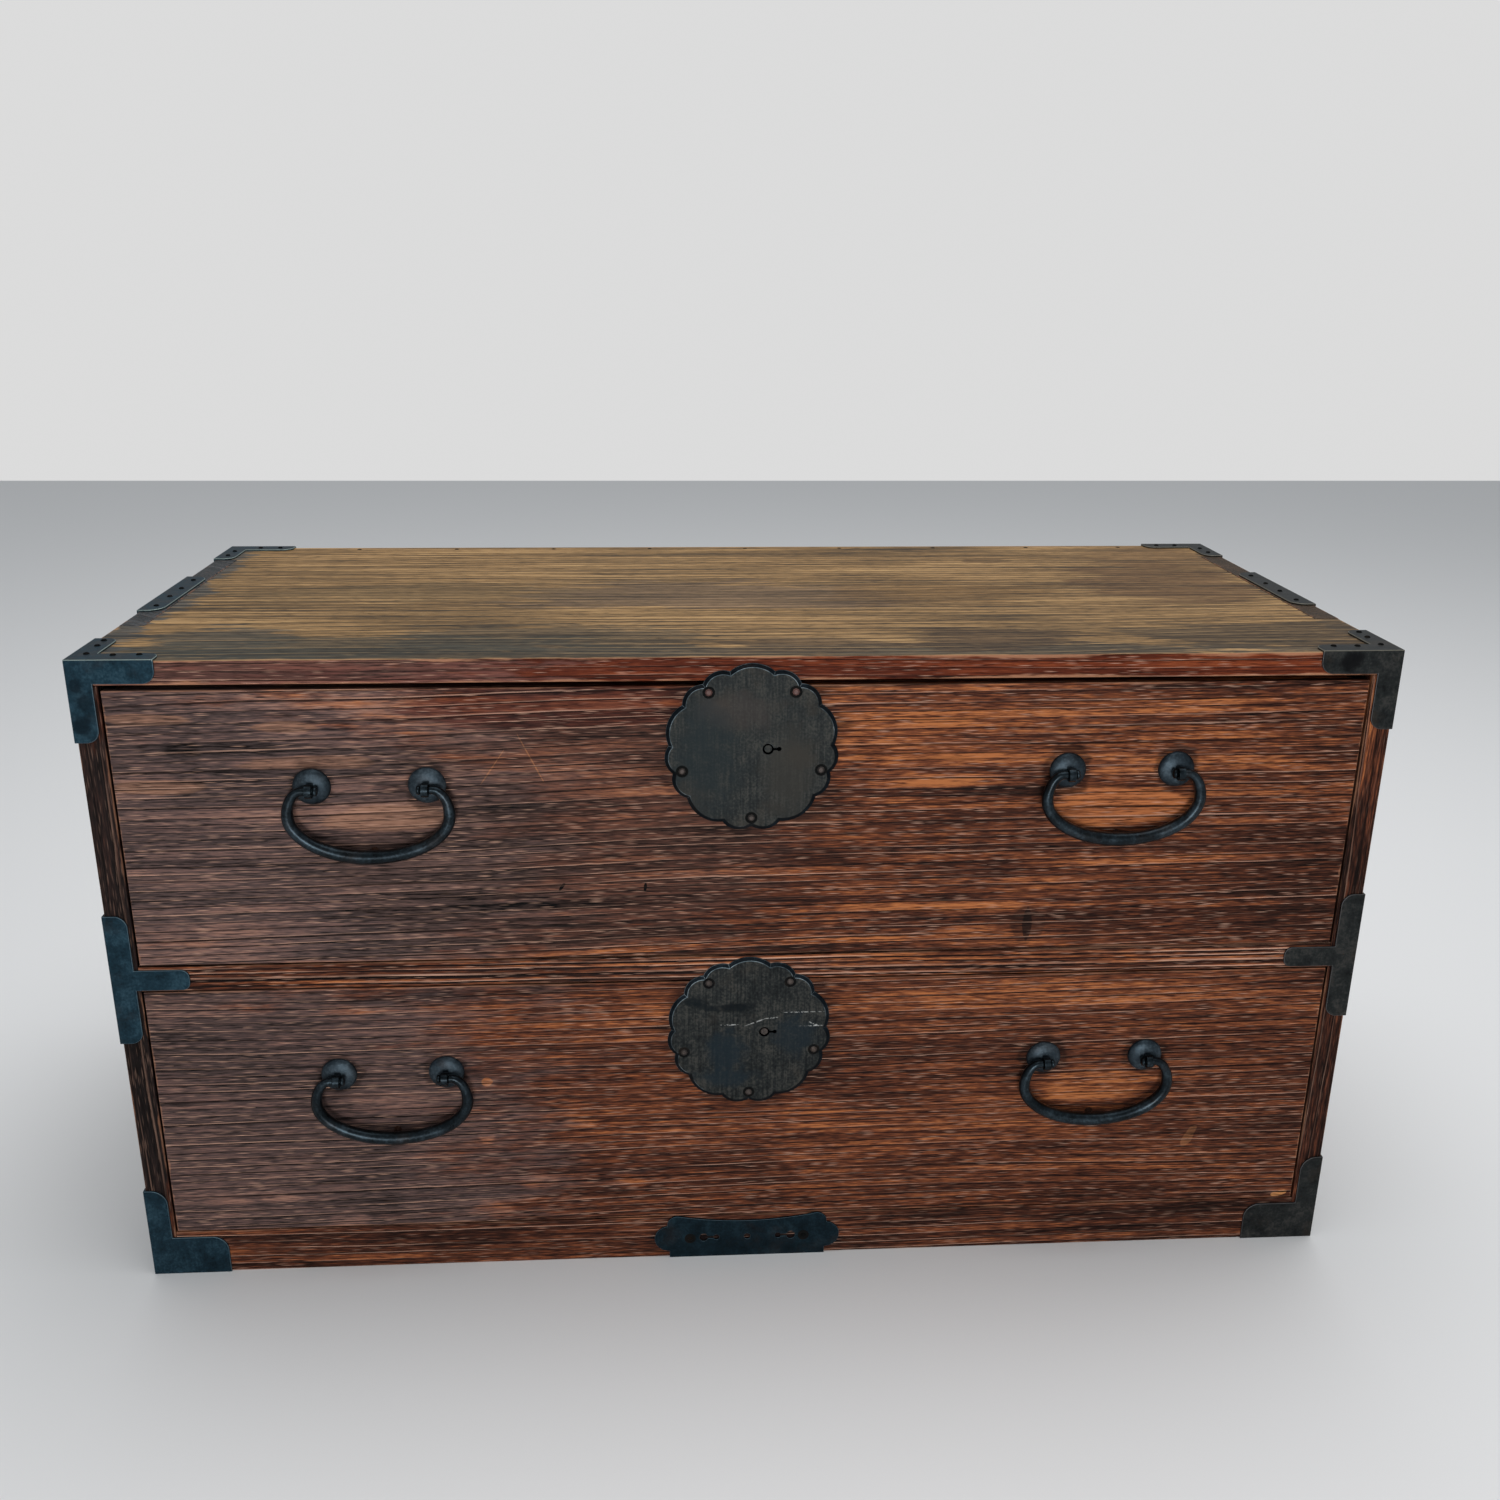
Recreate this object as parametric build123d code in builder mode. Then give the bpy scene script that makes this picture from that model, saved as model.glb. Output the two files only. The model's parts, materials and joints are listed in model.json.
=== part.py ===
"""Japanese tansu chest: a finger-jointed board case, two locking drawers and forged iron fittings.

X runs across the front, Y from the front to the back and Z up, in millimetres.
The origin is on the floor, under the middle of the case.
"""

import os
from math import cos, radians, sin

from build123d import *

os.makedirs("parts", exist_ok=True)

# Case of boards
CASE_WIDTH = 906.0
CASE_DEPTH = 394.0
CASE_HEIGHT = 485.5
SIDE_THICK = 18.0
TOP_THICK = 17.0
FINGER_FRONT = 98.0
FINGER_BACK = 339.0
BOTTOM_THICK = 16.0
SHELF_THICK = 9.0
BACK_THICK = 9.0
BACK_LAP = 8.0
HOUSING = 6.0
BOTTOM_RAIL_HEIGHT = 36.5
BOTTOM_RAIL_DEPTH = 22.0
MIDDLE_RAIL_HEIGHT = 19.5
MIDDLE_RAIL_DEPTH = 30.0
TENON_LENGTH = 10.0
TENON_THICK = 10.0
TENON_SHOULDER = 4.0
RUNNER_WIDTH = 26.0

# Drawers
DRAWER_HEIGHT = 203.0
DRAWER_GAP = 1.0
DRAWER_HALF_WIDTH = 433.5
DRAWER_FRONT_THICK = 20.0
DRAWER_LENGTH = 369.0
DRAWER_SIDE_THICK = 11.0
DRAWER_SIDE_X = 432.0
DRAWER_SIDE_LAP = 13.0
DRAWER_SIDE_DROP = 4.0
DRAWER_BOTTOM_THICK = 7.0
DRAWER_BOTTOM_LAP = 8.0

# Sheet irons
IRON = 1.5
ARM_LENGTH = 58.0
ARM_WIDTH = 17.0
ARM_ROUND = 9.0
FOOT_ARM_HEIGHT = 32.3
FOOT_POST_HEIGHT = 74.5
FOOT_ROUND = 12.0
TEE_HEIGHT = 101.0
TEE_ARM_LENGTH = 55.0
TEE_ARM_HEIGHT = 16.0
TEE_ARM_ROUND = 6.0
STRAP_LENGTH = 122.0
STRAP_MIDDLE = 201.5
STRAP_WIDTH = 18.0
STRAP_ROUND = 12.0
BASE_HALF_WIDTH = 72.0
BASE_PEAK_X = 54.0
BASE_PEAK_HEIGHT = 37.3
BASE_MIDDLE_HEIGHT = 32.0
BASE_CUSP = (62.0, 28.5)
BASE_FOOT = (60.5, 6.0)
BASE_LOBE_HEIGHT = 18.5
NAIL_HEAD_RADIUS = 2.3
NAIL_HEAD_HEIGHT = 0.9
NAIL_SHANK = 1.8
IRON_NAIL_LENGTH = 13.0

# Lock plates and locks
PLATE_THICK = 2.2
PLATE_PEAK = 61.2
PLATE_SMALL_PEAK = 60.8
PLATE_CUSP = 57.6
PLATE_BEVEL = 2.6
PLATE_BEVEL_DEPTH = 1.4
PLATE_FOLDS = 5
BIG_LOBE = 31.0
PLATE_NAIL_RADIUS = 50.8
PLATE_NAIL_HEAD = 2.8
PLATE_NAIL_LENGTH = 9.0
LOCK_DROP = {"upper": 45.2, "lower": 42.0}
KEYHOLE_X = 11.2
KEYHOLE_RADIUS = 3.8
KEY_SLOT_END = 20.3
KEY_SLOT_WIDTH = 1.4
KEY_SLOT_ROUND = 1.4
KEY_PIN_RADIUS = 2.6
LOCK_HALF_WIDTH = 36.0
LOCK_BELOW = 24.0
LOCK_RECESS = 12.0
LOCK_DEPTH = 18.0
LOCK_WALL = 2.0
BOLT_DEPTH = 15.5
BOLT_THICK = 5.0
BOLT_HEAD_WIDTH = 24.0
BOLT_BODY_WIDTH = 50.0
BOLT_SLOT_WIDTH = 17.0
BOLT_THROW = 8.0

# Handles: a bail hung on two eye pins through domed rosettes
HANDLE_X = 262.5
HANDLE_DROP = {
    ("upper", "left"): 69.0,
    ("upper", "right"): 64.0,
    ("lower", "left"): 70.0,
    ("lower", "right"): 70.0,
}
CARRY_HEIGHT = 352.0
PIN_SPACING = 78.0
PIVOT_OUT = 10.5
PIN_RADIUS = 2.4
PIN_CLEARANCE = 0.08
EYE_RADIUS = 5.0
EYE_WIDTH = 4.8
EYE_SIDES = 12
SHANK = 4.4
LEG_LENGTH = 15.0
LEG_THICK = 1.6
ROSETTE_SIDES = 16
ROSETTE_RINGS = ((0, 13.0), (0.8, 13.0), (3.2, 11.2), (4.8, 8.0), (5.6, 4.6))
BAIL_HALF_WIDTH = 54.7
BAIL_DROP = 49.0
BAIL_SHOULDER_WIDTH = 11.0
BAIL_SHOULDER_DROP = 18.0
BAIL_END_X = 41.8
BAIL_END_RADIUS = 3.0
BAIL_SIDE_RADIUS = 4.2
BAIL_MIDDLE_RADIUS = 5.2
KNOB_STATIONS = ((32.8, 2.4), (33.6, 3.5), (35.4, 3.5), (36.0, 2.9))
STRIKER_DROP = 48.5
STRIKER_RADIUS = 3.0
STRIKER_HEIGHT = 3.2
STRIKER_SHANK = 2.4
STRIKER_LENGTH = 14.0

# Levels and faces that follow from these
HALF_WIDTH = CASE_WIDTH / 2
FRONT_Y = -CASE_DEPTH / 2
BACK_Y = CASE_DEPTH / 2
INNER_X = HALF_WIDTH - SIDE_THICK
TOP_UNDERSIDE = CASE_HEIGHT - TOP_THICK
BACK_BOARD_Y = BACK_Y - BACK_THICK
LOWER_DRAWER_Z = BOTTOM_RAIL_HEIGHT + DRAWER_GAP
MIDDLE_RAIL_Z = LOWER_DRAWER_Z + DRAWER_HEIGHT + DRAWER_GAP
UPPER_DRAWER_Z = MIDDLE_RAIL_Z + MIDDLE_RAIL_HEIGHT + DRAWER_GAP
SHELF_Z = MIDDLE_RAIL_Z + 4.5
FINGER_MIDDLE_Y = FRONT_Y + (FINGER_FRONT + FINGER_BACK) / 2
FINGER_LENGTH = FINGER_BACK - FINGER_FRONT
STRAP_Y = FRONT_Y + STRAP_MIDDLE
DRAWER_FRONT_BACK = FRONT_Y + DRAWER_FRONT_THICK
DRAWER_BACK_Y = FRONT_Y + DRAWER_LENGTH
BOLT_Y = FRONT_Y + BOLT_DEPTH
DRAWER_LEVELS = {"upper": UPPER_DRAWER_Z, "lower": LOWER_DRAWER_Z}
SIDES = {"left": -1, "right": 1}
ENDS = {"front": -1, "back": 1}


def keep(piece, name):
    """Label a finished piece and write its file."""
    piece.part.label = name
    export_step(piece.part, f"parts/{name}.step")


def lock_level(drawer):
    """Height of the centre of a drawer's lock plate."""
    return DRAWER_LEVELS[drawer] + DRAWER_HEIGHT - LOCK_DROP[drawer]


def handle_level(drawer, side_name):
    """Height of a bail's pivots. The handles were set by eye, so each has its own."""
    return DRAWER_LEVELS[drawer] + DRAWER_HEIGHT - HANDLE_DROP[drawer, side_name]


def pin_places(drawer):
    """The four points on a drawer front where eye pins go through."""
    return [
        (side * HANDLE_X + end * PIN_SPACING / 2, FRONT_Y, handle_level(drawer, side_name))
        for side_name, side in SIDES.items()
        for end in (-1, 1)
    ]


# Top board, notched at both ends for the tall fingers of the side boards
with BuildPart() as top_board:
    with BuildSketch(Plane.XY.offset(TOP_UNDERSIDE)):
        Rectangle(CASE_WIDTH, CASE_DEPTH)
        with Locations((0, FINGER_MIDDLE_Y)):
            with GridLocations(CASE_WIDTH - SIDE_THICK, 1, 2, 1):
                Rectangle(SIDE_THICK, FINGER_LENGTH, mode=Mode.SUBTRACT)
    extrude(amount=TOP_THICK)
    with BuildSketch(Plane.XY.offset(TOP_UNDERSIDE)):
        with Locations((0, BOLT_Y)):
            Rectangle(BOLT_HEAD_WIDTH + 2, BOLT_THICK + 2)
    extrude(amount=BOLT_THROW - 1, mode=Mode.SUBTRACT)
keep(top_board, "top_board")


def side_board(side):
    """A side board with its top finger, housings, mortises, back rebate and eye pin holes.

    Each cut on the inner face is a rectangle from (y, z) to (y, z) and a depth.
    """
    rail_y = FRONT_Y + 6
    shelf = ((FRONT_Y + MIDDLE_RAIL_DEPTH, SHELF_Z), (BACK_BOARD_Y, SHELF_Z + SHELF_THICK), HOUSING)
    floor = ((FRONT_Y + BOTTOM_RAIL_DEPTH, 0), (BACK_BOARD_Y, BOTTOM_THICK), HOUSING)
    rebate = ((BACK_BOARD_Y, 0), (BACK_Y, TOP_UNDERSIDE), BACK_THICK)
    mortises = [
        ((rail_y, low + TENON_SHOULDER), (rail_y + TENON_THICK, low + height - TENON_SHOULDER), TENON_LENGTH)
        for low, height in ((0, BOTTOM_RAIL_HEIGHT), (MIDDLE_RAIL_Z, MIDDLE_RAIL_HEIGHT))
    ]
    with BuildPart() as board:
        with BuildSketch(Plane.YZ.offset(side * INNER_X)):
            with Locations((0, TOP_UNDERSIDE / 2)):
                Rectangle(CASE_DEPTH, TOP_UNDERSIDE)
            with Locations((FINGER_MIDDLE_Y, CASE_HEIGHT / 2)):
                Rectangle(FINGER_LENGTH, CASE_HEIGHT)
        extrude(amount=side * SIDE_THICK)
        for low, high, depth in [shelf, floor, rebate] + mortises:
            with BuildSketch(Plane.YZ.offset(side * INNER_X)):
                with Locations(((low[0] + high[0]) / 2, (low[1] + high[1]) / 2)):
                    Rectangle(high[0] - low[0], high[1] - low[1])
            extrude(amount=side * depth, mode=Mode.SUBTRACT)
        with BuildSketch(Plane.YZ.offset(side * INNER_X)):
            with Locations((STRAP_Y, CARRY_HEIGHT)):
                with GridLocations(PIN_SPACING, 1, 2, 1):
                    Rectangle(EYE_WIDTH + 0.2, SHANK + 0.2)
        extrude(amount=side * SIDE_THICK, mode=Mode.SUBTRACT)
    return board


for side_name, side in SIDES.items():
    keep(side_board(side), f"{side_name}_side_board")


# Bottom board, housed in the side boards and butted on the bottom rail
with BuildPart() as bottom_board:
    with BuildSketch(Plane.XY):
        with Locations((0, (FRONT_Y + BOTTOM_RAIL_DEPTH + BACK_BOARD_Y) / 2)):
            Rectangle(2 * (INNER_X + HOUSING), BACK_BOARD_Y - FRONT_Y - BOTTOM_RAIL_DEPTH)
    extrude(amount=BOTTOM_THICK)
keep(bottom_board, "bottom_board")

# Shelf board behind the middle rail, tongued into its back
with BuildPart() as shelf_board:
    with BuildSketch(Plane.XY.offset(SHELF_Z)):
        with Locations((0, (FRONT_Y + MIDDLE_RAIL_DEPTH + BACK_BOARD_Y) / 2)):
            Rectangle(2 * (INNER_X + HOUSING), BACK_BOARD_Y - FRONT_Y - MIDDLE_RAIL_DEPTH)
        with Locations((0, FRONT_Y + MIDDLE_RAIL_DEPTH - HOUSING / 2)):
            Rectangle(2 * INNER_X, HOUSING)
    extrude(amount=SHELF_THICK)
keep(shelf_board, "shelf_board")


def rail(low, height, depth):
    """A front rail with a stub tenon on each end."""
    with BuildPart() as bar:
        with BuildSketch(Plane.YZ.offset(-INNER_X)):
            with Locations((FRONT_Y + depth / 2, low + height / 2)):
                Rectangle(depth, height)
        extrude(amount=2 * INNER_X)
        with BuildSketch(Plane.YZ.offset(-INNER_X - TENON_LENGTH)):
            with Locations((FRONT_Y + 6 + TENON_THICK / 2, low + height / 2)):
                Rectangle(TENON_THICK, height - 2 * TENON_SHOULDER)
        extrude(amount=2 * (INNER_X + TENON_LENGTH))
    return bar


keep(rail(0, BOTTOM_RAIL_HEIGHT, BOTTOM_RAIL_DEPTH), "bottom_rail")

# Middle rail, grooved for the shelf and mortised below for the lower lock's bolt
with BuildPart() as middle_rail:
    add(rail(MIDDLE_RAIL_Z, MIDDLE_RAIL_HEIGHT, MIDDLE_RAIL_DEPTH).part)
    with BuildSketch(Plane.YZ.offset(-INNER_X)):
        with Locations((FRONT_Y + MIDDLE_RAIL_DEPTH - HOUSING / 2, SHELF_Z + SHELF_THICK / 2)):
            Rectangle(HOUSING, SHELF_THICK)
    extrude(amount=2 * INNER_X, mode=Mode.SUBTRACT)
    with BuildSketch(Plane.XY.offset(MIDDLE_RAIL_Z)):
        with Locations((0, BOLT_Y)):
            Rectangle(BOLT_HEAD_WIDTH + 2, BOLT_THICK + 2)
    extrude(amount=BOLT_THROW + 2, mode=Mode.SUBTRACT)
keep(middle_rail, "middle_rail")


def runners(low, high, front):
    """The two strips that a drawer slides on."""
    with BuildPart() as strips:
        with BuildSketch(Plane.XY.offset(low)):
            with Locations((0, (front + BACK_BOARD_Y) / 2)):
                with GridLocations(2 * INNER_X - RUNNER_WIDTH, 1, 2, 1):
                    Rectangle(RUNNER_WIDTH, BACK_BOARD_Y - front)
        extrude(amount=high - low)
    return strips


keep(runners(SHELF_Z + SHELF_THICK, UPPER_DRAWER_Z, FRONT_Y + MIDDLE_RAIL_DEPTH), "upper_runners")
keep(runners(BOTTOM_THICK, LOWER_DRAWER_Z, FRONT_Y + BOTTOM_RAIL_DEPTH), "lower_runners")


# Back of three boards, each lapped over the one below
BACK_BOARD_HEIGHT = TOP_UNDERSIDE / 3
for row, name in enumerate(("lower", "middle", "upper")):
    low = row * BACK_BOARD_HEIGHT
    with BuildPart() as back_board:
        with BuildSketch(Plane.YZ.offset(-INNER_X - BACK_THICK)):
            with Locations((BACK_BOARD_Y, low)):
                Rectangle(BACK_THICK, BACK_BOARD_HEIGHT, align=Align.MIN)
            if name != "upper":
                with Locations((BACK_BOARD_Y, low + BACK_BOARD_HEIGHT)):
                    Rectangle(BACK_THICK / 2, BACK_LAP, align=Align.MIN)
            if name != "lower":
                with Locations((BACK_BOARD_Y, low)):
                    Rectangle(BACK_THICK / 2, BACK_LAP, align=Align.MIN, mode=Mode.SUBTRACT)
        extrude(amount=2 * (INNER_X + BACK_THICK))
    keep(back_board, f"back_board_{name}")


def corner_iron(side, end, top):
    """A corner iron folded from sheet: an L on each face of the corner that it wraps.

    A top iron wraps three faces. A foot iron wraps two, with a taller arm along the floor.
    """
    corner = Vector(
        side * (HALF_WIDTH + IRON), end * (BACK_Y + IRON), CASE_HEIGHT + IRON if top else 0
    )
    along = Vector(-side, 0, 0)
    across = Vector(0, -end, 0)
    upright = Vector(0, 0, -1 if top else 1)
    faces = [(along, upright, across), (across, upright, along)]
    if top:
        faces.append((along, across, upright))
    arm_width = ARM_WIDTH if top else FOOT_ARM_HEIGHT
    post_length = ARM_LENGTH if top else FOOT_POST_HEIGHT
    with BuildPart() as iron:
        for x_dir, y_dir, inward in faces:
            with BuildSketch(Plane(corner, x_dir=x_dir, z_dir=x_dir.cross(y_dir))) as leg:
                Rectangle(ARM_LENGTH, arm_width, align=Align.MIN)
                Rectangle(ARM_WIDTH, post_length, align=Align.MIN)
                ends = leg.vertices().filter_by(
                    lambda v: min(v.X, v.Y) > 1 and v.X + v.Y > ARM_WIDTH + arm_width + 1
                )
                fillet(ends, ARM_ROUND if top else FOOT_ROUND)
            extrude(amount=IRON, dir=inward)
    return iron


for side_name, side in SIDES.items():
    for end_name, end in ENDS.items():
        keep(corner_iron(side, end, True), f"{end_name}_top_{side_name}_corner_iron")
        keep(corner_iron(side, end, False), f"{end_name}_foot_{side_name}_corner_iron")


def tee_iron(side):
    """The iron on one end of the middle rail: a tee on the front and a tab round the side."""
    middle = MIDDLE_RAIL_Z + MIDDLE_RAIL_HEIGHT / 2 - 0.5
    corner = Vector(side * (HALF_WIDTH + IRON), FRONT_Y - IRON, middle)
    along = Vector(-side, 0, 0)
    across = Vector(0, 1, 0)
    up = Vector(0, 0, 1)
    with BuildPart() as iron:
        for x_dir, inward in ((along, across), (across, along)):
            with BuildSketch(Plane(corner, x_dir=x_dir, z_dir=x_dir.cross(up))) as leg:
                Rectangle(ARM_WIDTH, TEE_HEIGHT, align=(Align.MIN, Align.CENTER))
                fillet(leg.vertices().filter_by(lambda v: v.X > 1), ARM_ROUND)
                if inward == across:
                    Rectangle(TEE_ARM_LENGTH, TEE_ARM_HEIGHT, align=(Align.MIN, Align.CENTER))
                    fillet(leg.vertices().filter_by(lambda v: v.X > ARM_WIDTH + 1), TEE_ARM_ROUND)
            extrude(amount=IRON, dir=inward)
    return iron


def edge_strap(side):
    """The strap folded over a side edge of the top, level with the carrying handle."""
    corner = Vector(side * (HALF_WIDTH + IRON), STRAP_Y, CASE_HEIGHT + IRON)
    along = Vector(-side, 0, 0)
    across = Vector(0, 1, 0)
    down = Vector(0, 0, -1)
    with BuildPart() as strap:
        for x_dir, inward in ((along, down), (down, along)):
            with BuildSketch(Plane(corner, x_dir=x_dir, z_dir=x_dir.cross(across))) as leg:
                Rectangle(STRAP_WIDTH, STRAP_LENGTH, align=(Align.MIN, Align.CENTER))
                fillet(leg.vertices().filter_by(lambda v: v.X > 1), STRAP_ROUND)
            extrude(amount=IRON, dir=inward)
    return strap


for side_name, side in SIDES.items():
    keep(tee_iron(side), f"{side_name}_tee_iron")
    keep(edge_strap(side), f"{side_name}_edge_strap")

# Base plate on the bottom rail: lobed ends, two peaks and a hollow top edge between them
with BuildPart() as base_plate:
    with BuildSketch(Plane.XZ.offset(-FRONT_Y)):
        with BuildLine():
            ThreePointArc(
                (-BASE_PEAK_X, BASE_PEAK_HEIGHT), (0, BASE_MIDDLE_HEIGHT), (BASE_PEAK_X, BASE_PEAK_HEIGHT)
            )
            peak_side = (BASE_PEAK_X + 6.2, BASE_PEAK_HEIGHT - 2.6)
            ThreePointArc((BASE_PEAK_X, BASE_PEAK_HEIGHT), peak_side, BASE_CUSP)
            ThreePointArc(BASE_CUSP, (BASE_HALF_WIDTH, BASE_LOBE_HEIGHT), BASE_FOOT)
            Line(BASE_FOOT, (BASE_FOOT[0], 0))
            Line((BASE_FOOT[0], 0), (0, 0))
            mirror(about=Plane.YZ)
        make_face()
        for end in (-1, 1):
            with Locations((end * 34.0, 17.5)):
                Circle(3.4, mode=Mode.SUBTRACT)
            with Locations((end * 24.0, 17.5)):
                Circle(2.4, mode=Mode.SUBTRACT)
            with Locations((end * 29.0, 17.5)):
                Rectangle(10, 1.8, mode=Mode.SUBTRACT)
        with Locations((0, 17.5)):
            Circle(2.6, mode=Mode.SUBTRACT)
    extrude(amount=IRON)
keep(base_plate, "base_plate")


def driven_nail(head_radius, head_height, shank, length):
    """A forged nail seated at the origin: a low eight-sided head up along Z and a square tapered shank."""
    with BuildPart() as nail:
        for height, radius in ((0, head_radius), (head_height, 0.6 * head_radius)):
            with BuildSketch(Plane.XY.offset(height)):
                RegularPolygon(radius, 8)
        loft(ruled=True)
        for depth, width in ((0, shank), (length, 0.3 * shank)):
            with BuildSketch(Plane.XY.offset(-depth)):
                Rectangle(width, width)
        loft(ruled=True)
    return nail


# Nails of the irons, as they show on the top and on the base plate
CORNER_NAILS = ((10.0, 15.5), (28.5, 12.0), (45.5, 12.5), (9.6, 36.5), (8.8, 51.0))
BACK_NAILS = ((9.6, 25.0), (8.8, 44.0), (28.5, 9.0), (46.0, 9.0))
STRAP_NAILS = (-46.5, -14.5, 14.5, 45.5)
iron_nail_places = []
for side in SIDES.values():
    edge = side * (HALF_WIDTH + IRON)
    for along, across in CORNER_NAILS:
        iron_nail_places.append((edge - side * along, FRONT_Y - IRON + across))
    for along, across in BACK_NAILS:
        iron_nail_places.append((edge - side * along, BACK_Y + IRON - across))
    for across in STRAP_NAILS:
        iron_nail_places.append((edge - side * 10, STRAP_Y + across))
iron_nail = driven_nail(NAIL_HEAD_RADIUS, NAIL_HEAD_HEIGHT, NAIL_SHANK, IRON_NAIL_LENGTH)
with BuildPart() as iron_nails:
    with Locations(*[(x, y, CASE_HEIGHT + IRON) for x, y in iron_nail_places]):
        add(iron_nail.part)
    with Locations(*[Plane((x, FRONT_Y - IRON, 17.0), z_dir=(0, -1, 0)).location for x in (-44.5, 44.0)]):
        add(iron_nail.part)
keep(iron_nails, "iron_nails")


def drawer_front(drawer):
    """A drawer front: rebated for sides and bottom, recessed for the lock, pierced for key and pins."""
    low = DRAWER_LEVELS[drawer]
    level = lock_level(drawer)
    rebate = DRAWER_HALF_WIDTH - DRAWER_SIDE_X + DRAWER_SIDE_THICK
    with BuildPart() as front:
        with BuildSketch(Plane.XY.offset(low)):
            with Locations((0, FRONT_Y)):
                Rectangle(2 * DRAWER_HALF_WIDTH, DRAWER_FRONT_THICK, align=(Align.CENTER, Align.MIN))
            with Locations((0, DRAWER_FRONT_BACK)):
                with GridLocations(2 * DRAWER_HALF_WIDTH - rebate, 1, 2, 1):
                    Rectangle(rebate, DRAWER_SIDE_LAP, align=(Align.CENTER, Align.MAX), mode=Mode.SUBTRACT)
        extrude(amount=DRAWER_HEIGHT)
        with BuildSketch(Plane.XY.offset(low)):
            with Locations((0, DRAWER_FRONT_BACK)):
                Rectangle(2 * DRAWER_HALF_WIDTH, DRAWER_BOTTOM_LAP, align=(Align.CENTER, Align.MAX))
        extrude(amount=DRAWER_BOTTOM_THICK, mode=Mode.SUBTRACT)
        with BuildSketch(Plane.XZ.offset(-DRAWER_FRONT_BACK)):
            with Locations((0, level - LOCK_BELOW)):
                Rectangle(
                    2 * LOCK_HALF_WIDTH + 1, LOCK_BELOW + LOCK_DROP[drawer], align=(Align.CENTER, Align.MIN)
                )
        extrude(amount=LOCK_RECESS, mode=Mode.SUBTRACT)
        with BuildSketch(Plane.XZ.offset(-FRONT_Y)):
            with Locations((KEYHOLE_X + 3, level)):
                SlotOverall(26, 15)
            for x, y, z in pin_places(drawer):
                with Locations((x, z)):
                    Rectangle(EYE_WIDTH + 0.2, SHANK + 0.2)
        extrude(amount=-DRAWER_FRONT_THICK, mode=Mode.SUBTRACT)
    return front


def drawer_side(drawer, side):
    """A drawer side, lapped into the front and notched at the back for the back's two fingers."""
    low = DRAWER_LEVELS[drawer] + DRAWER_BOTTOM_THICK
    height = DRAWER_HEIGHT - DRAWER_BOTTOM_THICK - DRAWER_SIDE_DROP
    start = DRAWER_FRONT_BACK - DRAWER_SIDE_LAP
    with BuildPart() as board:
        with BuildSketch(Plane.YZ.offset(side * (DRAWER_SIDE_X - DRAWER_SIDE_THICK))):
            with Locations((start, low)):
                Rectangle(DRAWER_BACK_Y - start, height, align=Align.MIN)
            for finger in (1, 3):
                with Locations((DRAWER_BACK_Y, low + finger * height / 5)):
                    Rectangle(
                        DRAWER_SIDE_THICK, height / 5, align=(Align.MAX, Align.MIN), mode=Mode.SUBTRACT
                    )
        extrude(amount=side * DRAWER_SIDE_THICK)
    return board


def drawer_back(drawer):
    """A drawer back with two fingers on each end."""
    low = DRAWER_LEVELS[drawer] + DRAWER_BOTTOM_THICK
    height = DRAWER_HEIGHT - DRAWER_BOTTOM_THICK - DRAWER_SIDE_DROP
    with BuildPart() as board:
        with BuildSketch(Plane.XZ.offset(-DRAWER_BACK_Y)):
            with Locations((0, low)):
                Rectangle(2 * (DRAWER_SIDE_X - DRAWER_SIDE_THICK), height, align=(Align.CENTER, Align.MIN))
            for finger in (1, 3):
                with Locations((0, low + finger * height / 5)):
                    Rectangle(2 * DRAWER_SIDE_X, height / 5, align=(Align.CENTER, Align.MIN))
        extrude(amount=DRAWER_SIDE_THICK)
    return board


def drawer_bottom(drawer):
    """A drawer bottom, fixed under the sides and back and rebated into the front."""
    start = DRAWER_FRONT_BACK - DRAWER_BOTTOM_LAP
    with BuildPart() as board:
        with BuildSketch(Plane.XY.offset(DRAWER_LEVELS[drawer])):
            with Locations((0, start)):
                Rectangle(2 * DRAWER_SIDE_X, DRAWER_BACK_Y - start, align=(Align.CENTER, Align.MIN))
        extrude(amount=DRAWER_BOTTOM_THICK)
    return board


def on_plate(radius, angle):
    """A point on a lock plate, by its distance from the centre and its angle from upright."""
    return (radius * sin(radians(angle)), radius * cos(radians(angle)))


# Lock plate about the origin: five big lobes with two small ones between each pair, bevelled rim
with BuildPart() as lock_plate:
    with BuildSketch(Plane.XZ):
        with BuildLine():
            fold = 360 / PLATE_FOLDS
            small_lobe = (fold - BIG_LOBE) / 2
            for sector in range(PLATE_FOLDS):
                start = sector * fold - BIG_LOBE / 2
                for width, peak in (
                    (BIG_LOBE, PLATE_PEAK),
                    (small_lobe, PLATE_SMALL_PEAK),
                    (small_lobe, PLATE_SMALL_PEAK),
                ):
                    ThreePointArc(
                        on_plate(PLATE_CUSP, start),
                        on_plate(peak, start + width / 2),
                        on_plate(PLATE_CUSP, start + width),
                    )
                    start += width
        make_face()
    extrude(amount=PLATE_THICK)
    chamfer(faces().sort_by(Axis.Y)[0].edges(), PLATE_BEVEL_DEPTH, PLATE_BEVEL)
    with BuildSketch(Plane.XZ):
        with Locations((KEYHOLE_X, 0)):
            Circle(KEYHOLE_RADIUS)
        with Locations((KEYHOLE_X, 0)):
            Rectangle(KEY_SLOT_END - KEY_SLOT_ROUND - KEYHOLE_X, KEY_SLOT_WIDTH, align=(Align.MIN, Align.CENTER))
        with Locations((KEY_SLOT_END - KEY_SLOT_ROUND, 0)):
            Circle(KEY_SLOT_ROUND)
    extrude(amount=PLATE_THICK, mode=Mode.SUBTRACT)


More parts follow.
